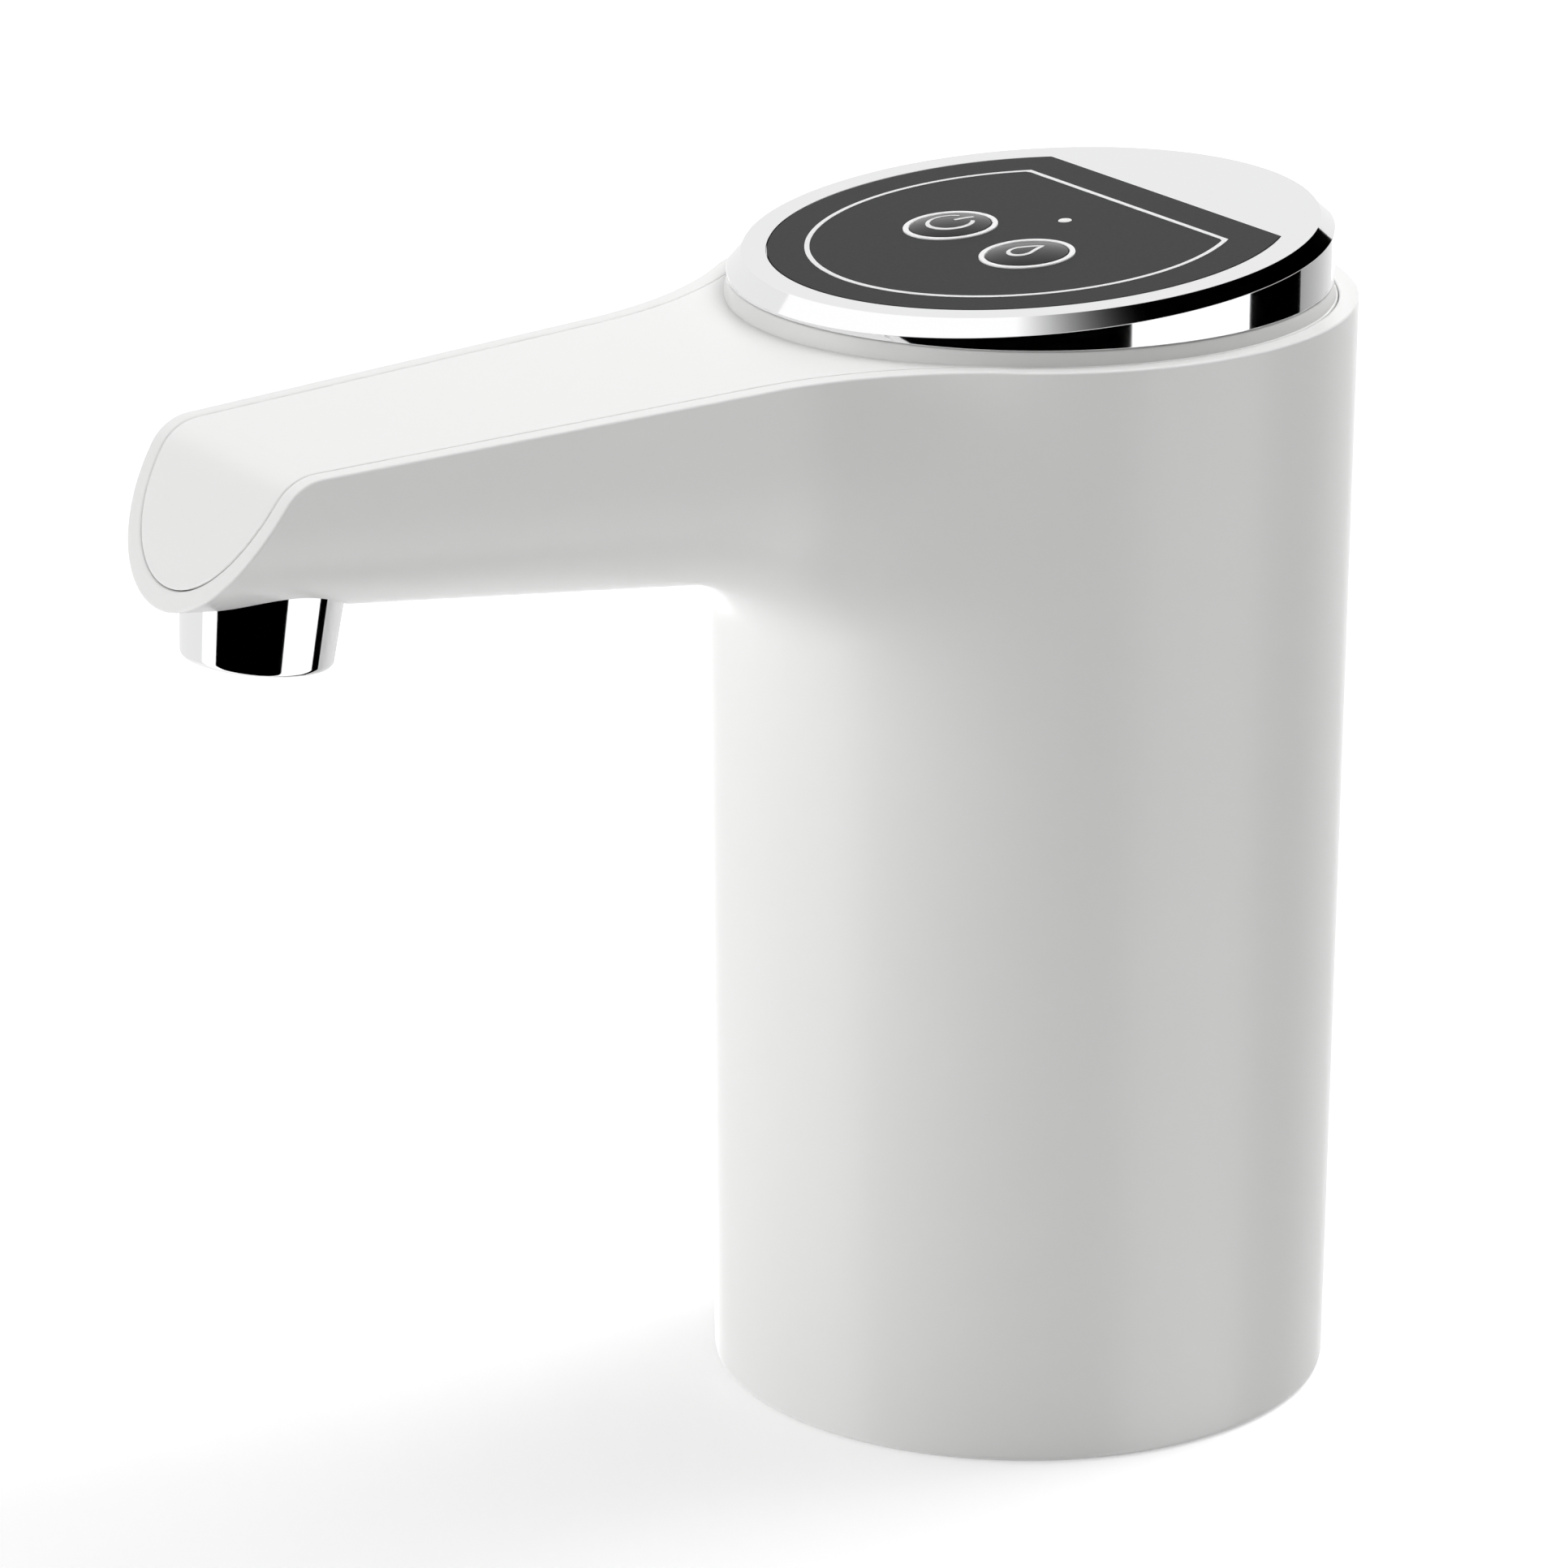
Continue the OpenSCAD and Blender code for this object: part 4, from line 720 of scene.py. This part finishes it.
# Satin grey plate: dark and matt, with the fine sparkle of a spark-eroded tool.
panel_satin = toned(
    "satin_panel_grey", "#363637", "#2B2B2C", roughness=0.5,
    clouds=0.35, grain=0.35, depth=0.006, ior=1.5, gloss=0.055,
)
panel_mesh = bmesh.new()
add_rows(panel_mesh, [panel_column(angle) for angle in d_angles(*PANEL_OUTLINE)])
panel = closed_piece("panel_plate", panel_mesh)
for side in (-1, 1):
    cut(panel, peg("bezel_hole", at_button(side), BEZEL_R + BEZEL_PLAY, -2 * PANEL_T, PANEL_T))
cut(panel, peg("panel_lens_hole", at_lens, LENS_HOLE_R, -2 * PANEL_T, PANEL_T))
shade(panel, panel_satin)
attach(panel, "pump_body")
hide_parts("control_panel")

# Screen-printed white: an even film of ink, a little duller than plastic.
white_ink = toned(
    "screen_printed_white", "#EFEFEF", "#E2E2E2", roughness=0.4, grain=0.3, depth=0.002,
)
line_mesh = bmesh.new()
add_rows(line_mesh, [line_column(angle) for angle in d_angles(LINE_R, LINE_CHORD, LINE_AHEAD)])
line = closed_piece("panel_line", line_mesh)
shade(line, white_ink)
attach(line, "pump_body")


# Bezels: two white ABS rings with eased edges, one round each button. They are pressed into
# holes in the panel and stand a hair proud of it.
BEZEL_PROUD = 0.15
BEZEL_ROUND = 0.12
bezel_sizes = {
    "Ring radius": (BEZEL_R + BUTTON_HOLE_R) / 2 * MM,
    "Section width": (BEZEL_R - BUTTON_HOLE_R) * MM,
    "Section height": (PANEL_T + BEZEL_PROUD) * MM,
    "Edge round": BEZEL_ROUND * MM,
    "Count": 2,
    "Step": (2 * BUTTON_X * MM, 0, 0),
}
# Moulded ring ABS: a clean white that stands out on the dark plate.
white_ring_abs = toned("moulded_white_ring_abs", "#F4F4F4", "#F0F0F0", roughness=0.28)


def ring_row(name, material):
    """Rule for a row of like rings: a rounded section swept round a circle, set at even steps."""
    tree = bpy.data.node_groups.new(name, "GeometryNodeTree")
    for size in ("Ring radius", "Section width", "Section height", "Edge round"):
        tree.interface.new_socket(name=size, in_out="INPUT", socket_type="NodeSocketFloat")
    tree.interface.new_socket(name="Count", in_out="INPUT", socket_type="NodeSocketInt")
    tree.interface.new_socket(name="Step", in_out="INPUT", socket_type="NodeSocketVector")
    tree.interface.new_socket(name="Geometry", in_out="OUTPUT", socket_type="NodeSocketGeometry")
    given = add(tree, "NodeGroupInput").outputs
    circle = add(tree, "GeometryNodeCurvePrimitiveCircle", {
        "Resolution": TURN_COLUMNS, "Radius": given["Ring radius"],
    })
    section = add(tree, "GeometryNodeCurvePrimitiveQuadrilateral", {
        "Width": given["Section width"], "Height": given["Section height"],
    })
    eased = add(tree, "GeometryNodeFilletCurve", {
        "Curve": section.outputs["Curve"], "Radius": given["Edge round"], "Count": ROUND_STEPS,
    }, mode="POLY")
    ring = add(tree, "GeometryNodeCurveToMesh", {
        "Curve": circle.outputs["Curve"], "Profile Curve": eased.outputs["Curve"],
    })
    places = add(tree, "GeometryNodeMeshLine", {
        "Count": given["Count"], "Start Location": (0, 0, 0), "Offset": given["Step"],
    })
    rings = add(tree, "GeometryNodeInstanceOnPoints", {
        "Points": places.outputs["Mesh"], "Instance": ring.outputs["Mesh"],
    })
    mesh = add(tree, "GeometryNodeRealizeInstances", {"Geometry": rings.outputs["Instances"]})
    faced = add(tree, "GeometryNodeSetMaterial", {
        "Geometry": mesh.outputs["Geometry"], "Material": material,
    })
    add(tree, "NodeGroupOutput", {"Geometry": faced.outputs["Geometry"]})
    return tree


def grown(name, tree, sizes):
    """A plain mesh object from a rule of Geometry Nodes and its sizes."""
    piece = bpy.data.objects.new(name, bpy.data.meshes.new(name))
    bpy.context.collection.objects.link(piece)
    rule = piece.modifiers.new("rule", "NODES")
    rule.node_group = tree
    for item in tree.interface.items_tree:
        if item.in_out == "INPUT":
            rule[item.identifier] = sizes[item.name]
    applied(piece)
    return piece


bezels = grown("bezel_pair", ring_row("bezel_rings", white_ring_abs), bezel_sizes)
first_ring = at_button(-1) @ Matrix.Translation((0, 0, (BEZEL_PROUD - PANEL_T) / 2))
first_ring.translation *= MM
bezels.data.transform(first_ring)
shade(bezels, white_ring_abs)
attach(bezels, "pump_body")
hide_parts("button_bezels")


# Buttons: two glossy black ABS keys with domed tops, each on its own slide. A flange under
# the cap keeps each in its hole. The white signs are pad-printed on the domes.
BUTTON_R = 4.5
BUTTON_PROUD = 0.1
BUTTON_DOME = 0.45
BUTTON_EDGE = 0.2
FLANGE_W = 0.9
FLANGE_T = 0.8
FLANGE_TOP = -CAP_PLATE_T - PANEL_PLAY
DOME_STEPS = 16
SIGN_W = 0.45
POWER_R = 2.5
POWER_GAP = math.radians(32)
POWER_STROKE = (0.25, 0.6, 0.95, 1.25)
POWER_STEPS = 48
DROP_R = 1.35
DROP_TIP = 2.9
DROP_STEPS = 36
DROP_SIDE = (0.25, 0.5, 0.75)


def dome_height(radius):
    """Height of a button's domed top above the panel."""
    return BUTTON_PROUD + BUTTON_DOME * (1 - (radius / BUTTON_R) ** 2)


def button_profile():
    """A button's section: domed top, eased edge, side and flange."""
    rim = BUTTON_R - BUTTON_EDGE
    dome = [(rim * i / DOME_STEPS, dome_height(rim * i / DOME_STEPS)) for i in range(DOME_STEPS)]
    side = rounded([
        (Vector((rim, dome_height(rim))), 0), (Vector((BUTTON_R, BUTTON_PROUD)), BUTTON_EDGE / 2),
        (Vector((BUTTON_R, FLANGE_TOP)), 0),
    ])
    flange_r = BUTTON_R + FLANGE_W
    foot = FLANGE_TOP - FLANGE_T
    flange = [(flange_r, FLANGE_TOP), (flange_r, foot), (0, foot)]
    return dome + [tuple(point) for point in side] + flange


def ribbon(place, path, closed):
    """Rows of a thin printed stroke that follows a path over a button's dome."""
    rows = []
    count = len(path)
    for i, point in enumerate(path):
        after = path[(i + 1) % count] if closed or i + 1 < count else point
        before = path[i - 1] if closed or i else point
        side = (after - before).normalized().orthogonal() * SIGN_W / 2
        row = []
        for offset, lift in ((side, -1), (side, 1), (-side, 1), (-side, -1), (side, -1)):
            spot = point + offset
            row.append(place @ Vector((spot.x, spot.y, dome_height(spot.length) + lift * PRINT_T)))
        rows.append(row)
    if closed:
        return rows + rows[:1]
    ends = [[sum(row[:4], Vector()) / 4] * len(row) for row in (rows[0], rows[-1])]
    return ends[:1] + rows + ends[1:]


def power_sign(place):
    """The common power sign: a ring open at its top, with an upright stroke in the gap."""
    sweep = 2 * math.pi - 2 * POWER_GAP
    start = math.pi / 2 + POWER_GAP
    turns = [start + sweep * i / POWER_STEPS for i in range(POWER_STEPS + 1)]
    arc = [POWER_R * Vector((math.cos(turn), math.sin(turn))) for turn in turns]
    stroke = [Vector((0, POWER_R * share)) for share in POWER_STROKE]
    return [ribbon(place, arc, False), ribbon(place, stroke, False)]


def drop_sign(place):
    """The outline of a water drop: a round bowl with two straight sides that meet above."""
    bend = math.acos(DROP_R / DROP_TIP)
    start = math.pi / 2 + bend
    sweep = 2 * math.pi - 2 * bend
    turns = [start + sweep * i / DROP_STEPS for i in range(DROP_STEPS + 1)]
    bowl = [DROP_R * Vector((math.cos(turn), math.sin(turn))) for turn in turns]
    tip = Vector((0, DROP_TIP))
    rise = [bowl[-1].lerp(tip, share) for share in DROP_SIDE]
    fall = [bowl[0].lerp(tip, share) for share in reversed(DROP_SIDE)]
    lower = Vector((0, -(DROP_TIP - DROP_R) / 2))
    return [ribbon(place, [point + lower for point in bowl + rise + [tip] + fall], True)]


# Gloss black ABS: deep and smooth, with a soft sheen on the dome.
gloss_black = toned(
    "gloss_black_abs", "#0B0B0C", "#080809", roughness=0.16, grain=1.1, depth=0.002, gloss=0.12,
)
for side, body, node, sign in (
    (-1, "power_key", "power_button", power_sign),
    (1, "dispense_key", "dispense_button", drop_sign),
):
    key_mesh = bmesh.new()
    add_rows(key_mesh, turned(button_profile(), at_button(side)))
    key = closed_piece(node + "_key", key_mesh)
    shade(key, gloss_black)
    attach(key, body)
    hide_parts(node)
    sign_mesh = bmesh.new()
    for rows in sign(at_button(side)):
        add_rows(sign_mesh, rows)
    mark = closed_piece(node + "_sign", sign_mesh)
    shade(mark, white_ink)
    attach(mark, body)


# Indicator lens: a moulded light pipe of frosted acrylic that leads the board's light up to a
# low dome in the panel. It is pushed through the cap from below, up to the shoulder on it.
LENS_R = 0.75
LENS_FOOT_R = 1.35
LENS_PROUD = 0.1
LENS_PLAY = 0.05
LENS_NECK_Z = -CAP_PLATE_T - LENS_PLAY
LENS_FOOT_Z = -8.0
LENS_TURNS = (0, 0.4, 0.8, 1.2, math.pi / 2)
LENS_COLUMNS = 32
LENS_CLEAR = 0.05

# Frosted acrylic: milky, with a little light let through.
lens_acrylic = toned(
    "frosted_acrylic", "#FAFAF8", "#F2F2F0", roughness=0.25,
    clouds=0.4, grain=0.4, depth=0.002, ior=1.49,
)
acrylic_shader = lens_acrylic.node_tree.nodes["Principled BSDF"]
acrylic_shader.inputs["Transmission Weight"].default_value = LENS_CLEAR
lens_dome = [(LENS_R * math.sin(turn), LENS_PROUD * math.cos(turn)) for turn in LENS_TURNS]
lens_foot = [(LENS_FOOT_R, LENS_NECK_Z), (LENS_FOOT_R, LENS_FOOT_Z), (0, LENS_FOOT_Z)]
lens_profile = lens_dome + [(LENS_R, LENS_NECK_Z)] + lens_foot
lens_mesh = bmesh.new()
add_rows(lens_mesh, turned(lens_profile, at_lens, LENS_COLUMNS))
lens = closed_piece("indicator_light_pipe", lens_mesh)
shade(lens, lens_acrylic)
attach(lens, "pump_body")
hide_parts("indicator_lens")


# Nozzle: a short chrome-plated bell pressed up into the keel behind the nose, with a rolled
# lip and a tapered mouth that leads into the outlet elbow.
NOZZLE_FOOT_R = 8.15
NOZZLE_R = 8.8
NOZZLE_TAPER_H = 8.0
NOZZLE_TOP = 12.0
NOZZLE_ROUND = 0.75
NOZZLE_LET_IN = 0.8
MOUTH_R = 6.4
MOUTH_H = 5.0
MOUTH_ROUND = 0.3
BORE_R = 4.95
NOZZLE_COLUMNS = 128


def nozzle_wall_r(z):
    """Radius of the nozzle's outside at a height above its lip."""
    return NOZZLE_FOOT_R + (NOZZLE_R - NOZZLE_FOOT_R) * min(1.0, z / NOZZLE_TAPER_H)


def nozzle_column(angle):
    """One section of the nozzle, closed inside the keel's wall."""
    spoke = Vector((math.cos(angle), math.sin(angle), 0))
    low, high = 0.0, NOZZLE_TOP
    for _ in range(BISECTIONS):
        top = (low + high) / 2
        point = NOZZLE @ (spoke * nozzle_wall_r(top) + Vector((0, 0, top)))
        run, rise = spout_place(point.y, point.z)
        if math.hypot(point.x, rise) < half_width(run, NOZZLE_LET_IN):
            high = top
        else:
            low = top
    profile = rounded_profile([
        (nozzle_wall_r(top), top, 0), (NOZZLE_FOOT_R, 0, NOZZLE_ROUND), (MOUTH_R, 0, MOUTH_ROUND),
        (BORE_R, MOUTH_H, 0), (BORE_R, top, 0),
    ])
    return [NOZZLE @ (spoke * radius + Vector((0, 0, z))) for radius, z in profile]


nozzle_mesh = bmesh.new()
nozzle_turns = [2 * math.pi * i / NOZZLE_COLUMNS for i in range(NOZZLE_COLUMNS + 1)]
add_rows(nozzle_mesh, [nozzle_column(angle) for angle in nozzle_turns])
nozzle = closed_piece("nozzle_bell", nozzle_mesh)
shade(nozzle, chrome)
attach(nozzle, "pump_body")
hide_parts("nozzle")


# Neck seal: a grey silicone sleeve pushed into the socket from below, with a flange round the
# foot. The ribs inside it give way as the pump is pressed down on the neck of a jug.
NECK_R = 27.8
SEAL_T = 1.9
SEAL_FLANGE_T = 1.15
SEAL_ROUND = 0.35
RIB_H = 0.5
RIB_W = 1.3
RIB_ROOT = 0.2
RIB_ROUND = 0.28
RIB_COUNT = 6
RIB_MARGIN = 2.4
seal_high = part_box("neck_seal")[1] / MM
rib_sizes = {
    "Ring radius": (NECK_R + (RIB_H + RIB_ROOT) / 2) * MM,
    "Section width": (RIB_H + RIB_ROOT) * MM,
    "Section height": RIB_W * MM,
    "Edge round": RIB_ROUND * MM,
    "Count": RIB_COUNT,
    "Step": (0, 0, (seal_high.z - 2 * RIB_MARGIN) / (RIB_COUNT - 1) * MM),
}


def seal_sleeve():
    """The sleeve and its flange, with the room between the ribs taken out of its wall."""
    inner, outer, flange_r, top = NECK_R + RIB_H, NECK_R + SEAL_T, seal_high.x, seal_high.z
    profile = rounded_profile([
        (inner, 0, SEAL_ROUND), (flange_r, 0, SEAL_ROUND), (flange_r, SEAL_FLANGE_T, 0),
        (outer, SEAL_FLANGE_T, 0), (outer, top, SEAL_ROUND), (inner, top, SEAL_ROUND),
    ])
    mesh = bmesh.new()
    add_rows(mesh, turned(profile, Matrix(), RING_COLUMNS))
    return closed_piece("neck_seal_sleeve", mesh)


# Moulded grey silicone: matt and dark, with the even grain of its mould.
RUBBER = {"clouds": 0.6, "grain": 0.6, "depth": 0.02, "ior": 1.43}
seal_rubber = toned("moulded_grey_silicone", "#3B3B3D", "#323234", roughness=0.6, **RUBBER)
ribs = grown("neck_seal_ribs", ring_row("seal_ribs", seal_rubber), rib_sizes)
ribs.data.transform(Matrix.Translation((0, 0, RIB_MARGIN * MM)))
for piece in (seal_sleeve(), ribs):
    shade(piece, seal_rubber)
    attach(piece, "pump_body")
    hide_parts("neck_seal")


# Inner parts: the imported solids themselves, each with the finish of its material. They show
# through the neck socket, the mouth of the nozzle and the charging port.
TRACK_PITCH = 6.0
METAL_GRAIN = 0.8
GRAIN_STRETCH = 0.12


def solder_mask():
    """Printed circuit board: green lacquer over copper tracks that show as paler lines."""
    material, tree, shader, place = finish("green_solder_mask", roughness=0.35)
    tracks = add(tree, "ShaderNodeTexBrick", {
        "Vector": place, "Scale": per_mm(TRACK_PITCH), "Mortar Size": 0.03,
        "Color1": linear("#1F5B38"), "Color2": linear("#1B5233"), "Mortar": linear("#2F7A4C"),
    })
    tree.links.new(tracks.outputs["Color"], shader.inputs["Base Color"])
    return material


def metal(name, light, dark, smooth, rough):
    """Bare or plated metal: its tone and gloss change a little along the grain."""
    material, tree, shader, place = finish(name, smooth, metallic=1.0)
    drawn = add(tree, "ShaderNodeMapping", {"Vector": place, "Scale": (1, 1, GRAIN_STRETCH)})
    grain = add(tree, "ShaderNodeTexNoise", {
        "Vector": drawn.outputs["Vector"], "Scale": per_mm(METAL_GRAIN), "Detail": 4,
    })
    ramp = add(tree, "ShaderNodeValToRGB", {"Fac": grain.outputs["Fac"]})
    ramp.color_ramp.elements[0].color = linear(dark)
    ramp.color_ramp.elements[1].color = linear(light)
    spread = add(tree, "ShaderNodeMapRange", {
        "Value": grain.outputs["Fac"], "To Min": smooth, "To Max": rough,
    })
    tree.links.new(ramp.outputs["Color"], shader.inputs["Base Color"])
    tree.links.new(spread.outputs["Result"], shader.inputs["Roughness"])
    return material


inner_finishes = {
    # Green lacquer with paler tracks, and dull black chips with a coarse skin.
    "board_green": solder_mask(),
    "chip_black": toned(
        "moulded_black_epoxy", "#232324", "#1A1A1B", roughness=0.5, grain=0.4, depth=0.01,
    ),
    # Milky hoses with a wet look, and pump parts as pale as the raw plastic.
    "tube_silicone": toned("clear_silicone_hose", "#E6E9EA", "#DCE0E1", roughness=0.35, **RUBBER),
    "pump_plastic": toned("moulded_natural_pom", "#E2E2E0", "#DADAD8", roughness=0.45, grain=0.8),
    # A plain pale grey with a dull skin, for what only holds the rest.
    "frame_plastic": toned("moulded_grey_abs", "#C2C3C4", "#B9BABB", roughness=0.5, grain=0.8),
    # Cool bright screws and cans, warm yellow contacts, and magnets as matt as slate.
    "steel": metal("zinc_plated_steel", "#CFD1D3", "#B4B7BA", smooth=0.25, rough=0.4),
    "brass": metal("rolled_brass", "#D9B46C", "#C49B52", smooth=0.25, rough=0.38),
    "magnet": toned("sintered_ferrite", "#4A4A4C", "#3C3C3E", roughness=0.7, **RUBBER),
    # A taut, shiny sleeve on the cell, and softer red sleeves on the leads.
    "cell_wrap": toned("pvc_shrink_wrap", "#2C8C92", "#257C82", roughness=0.3),
    "lead_red": toned("pvc_wire_sleeve", "#B5322C", "#A52A25", roughness=0.45, grain=0.5),
    # The outer pieces' own finishes, also on the solids that they stand for.
    "white_abs": white_abs, "cover_white": cover_abs, "chrome_plate": chrome,
    "panel_dark": panel_satin, "ring_white": white_ring_abs, "button_black": gloss_black,
    "lens_clear": lens_acrylic, "seal_rubber": seal_rubber,
}
for row in frame["record"]["subparts"]:
    solid = frame["nodes"][row["node"]]
    solid.data.materials.clear()
    solid.data.materials.append(inner_finishes[row["material_slot"]])


# Stage: a pale paper floor under a white world. Low soft boxes stand on the left, in front and
# behind, and one hangs high behind the pump on the right. Cards that only mirrors see give the
# chrome its black and white bands.
FLOOR_HALF = 6000.0
CARD_REACH = 2600.0
CARD_STEPS = 24
EYE_GAMMA = 2.4
AMBIENT = 0.27
FLOOR_GLOW = 0.4
SHOT_CENTRE = Vector((0, -20, 75))


def stage_piece(name, mesh, material):
    """A staged object, which isn't part of the pump."""
    piece = closed_piece(name, mesh)
    piece.data.materials.append(material)
    return piece


def shown(tree):
    """1 for the rays that show the background: those of the camera, of mirrors and of glass."""
    path = add(tree, "ShaderNodeLightPath").outputs
    mirror = add(tree, "ShaderNodeMath", {
        0: path["Is Glossy Ray"], 1: path["Is Transmission Ray"],
    }, operation="MAXIMUM").outputs[0]
    seen = add(tree, "ShaderNodeMath", {0: mirror, 1: path["Is Camera Ray"]}, operation="MAXIMUM")
    return seen.outputs[0]


def paper_white():
    """Matt white sweep: lit as paper is, with a lift where the eye sees it."""
    material, tree, shader, _ = finish("paper_white", roughness=0.9)
    shader.inputs["Base Color"].default_value = linear("#ECECEC")
    shader.inputs["Emission Color"].default_value = linear("#FFFFFF")
    glow = add(tree, "ShaderNodeMath", {0: shown(tree), 1: FLOOR_GLOW}, operation="MULTIPLY")
    tree.links.new(glow.outputs[0], shader.inputs["Emission Strength"])
    return material


def shaded_card():
    """Studio card that shines at each point's own level, where 0 is black velvet and 1 is white."""
    material, tree, shader, _ = finish("shaded_card", roughness=1.0)
    shader.inputs["Base Color"].default_value = linear("#000000")
    shader.inputs["Specular IOR Level"].default_value = 0.0
    shader.inputs["Emission Color"].default_value = linear("#FFFFFF")
    level = add(tree, "ShaderNodeAttribute", attribute_name="level")
    tree.links.new(level.outputs["Fac"], shader.inputs["Emission Strength"])
    return material


def between(ends, share):
    """The value at a share of the way from one end to the other."""
    return ends[0] + (ends[1] - ends[0]) * share


def card(name, turns, bottoms, tops, tones, material):
    """A patch of the surroundings that mirrors show, from a turn to a turn round from the camera.
    Its bottom and top edges, in degrees above level, and its tone go evenly from end to end."""
    shares = [i / CARD_STEPS for i in range(CARD_STEPS + 1)]
    rows = []
    for up in shares:
        row = []
        for across in shares:
            turn = between(turns, across)
            rise = between((between(bottoms, across), between(tops, across)), up)
            heading = direction(CAMERA_AZIMUTH + math.radians(turn), math.radians(rise))
            row.append(SHOT_CENTRE + CARD_REACH * heading)
        rows.append(row)
    mesh = bmesh.new()
    add_rows(mesh, rows)
    piece = stage_piece(name, mesh, material)
    level = piece.data.attributes.new("level", "FLOAT", "POINT")
    for i, point in enumerate(level.data):
        point.value = between(tones, shares[i % len(shares)]) ** EYE_GAMMA
    piece.visible_camera = False
    piece.visible_diffuse = False
    piece.visible_shadow = False


def soft_lamp(name, turn, watts, rise, reach, width, height):
    """A big soft box, aimed at the pump from a turn round from the camera."""
    lamp = bpy.data.objects.new(name, bpy.data.lights.new(name, "AREA"))
    lamp.data.shape = "RECTANGLE"
    lamp.data.size = width * MM
    lamp.data.size_y = height * MM
    lamp.data.energy = watts
    heading = direction(CAMERA_AZIMUTH + math.radians(turn), math.radians(rise))
    lamp.location = (SHOT_CENTRE + reach * heading) * MM
    lamp.rotation_euler = heading.to_track_quat("Z", "Y").to_euler()
    lamp.visible_glossy = False
    bpy.context.collection.objects.link(lamp)


floor_mesh = bmesh.new()
floor_ends = (FLOOR_HALF, -FLOOR_HALF)
add_rows(floor_mesh, [[Vector((x, y, 0)) for x in reversed(floor_ends)] for y in floor_ends])
floor = stage_piece("floor", floor_mesh, paper_white())
floor.visible_glossy = False

studio_card = shaded_card()
# Each card: its turns, bottom edge and top edge in degrees, and its tones, from end to end.
# Those below the floor are what upright walls mirror, and the high ones what the bevel mirrors.
BELOW_FLOOR = ((-85, -85), (-4, -4))
BLACK = (0, 0)
BRIGHT = (1.15, 1.15)
for name, turns, bottoms, tops, tones in (
    ("card_front", (-60, 37), *BELOW_FLOOR, BLACK),
    ("card_lit_right", (37, 89), *BELOW_FLOOR, BRIGHT),
    ("card_right", (89, 121), *BELOW_FLOOR, BLACK),
    ("card_right_rear", (121, 160), *BELOW_FLOOR, (0.7, 1.0)),
    ("card_behind", (160, 205), (-30, -30), (-4, -4), (1.3, 1.3)),
    ("card_under", (160, 276), (-85, -85), (-30, -30), (1.05, 1.05)),
    ("card_lit_left", (-84, -60), *BELOW_FLOOR, BRIGHT),
    ("card_high_left", (-150, -24), (30, 30), (82, 82), (1.1, 1.1)),
    ("card_high_fade", (-24, 62), (50, 50), (82, 82), (1.1, 0)),
    ("card_high_right", (62, 150), (50, 3), (82, 32), BLACK),
):
    card(name, turns, bottoms, tops, tones, studio_card)

LOW_BOX = {"rise": 5.5, "reach": 2200, "width": 1450, "height": 570}
soft_lamp("lamp_left", turn=-88, watts=20.0, **LOW_BOX)
soft_lamp("lamp_front", turn=-30, watts=6.5, **LOW_BOX)
soft_lamp("lamp_behind", turn=150, watts=11.0, **LOW_BOX)
soft_lamp("lamp_above", turn=125, watts=9.7, rise=64, reach=1100, width=700, height=900)

# The world is white to the eye and to mirrors, and lights the pump far less.
world = bpy.data.worlds.new("white_studio")
world.use_nodes = True
sky = world.node_tree.nodes["Background"]
sky.inputs["Color"].default_value = linear("#FFFFFF")
level = add(world.node_tree, "ShaderNodeMapRange", {
    "Value": shown(world.node_tree), "To Min": AMBIENT, "To Max": 1.0,
})
world.node_tree.links.new(level.outputs["Result"], sky.inputs["Strength"])
bpy.context.scene.world = world
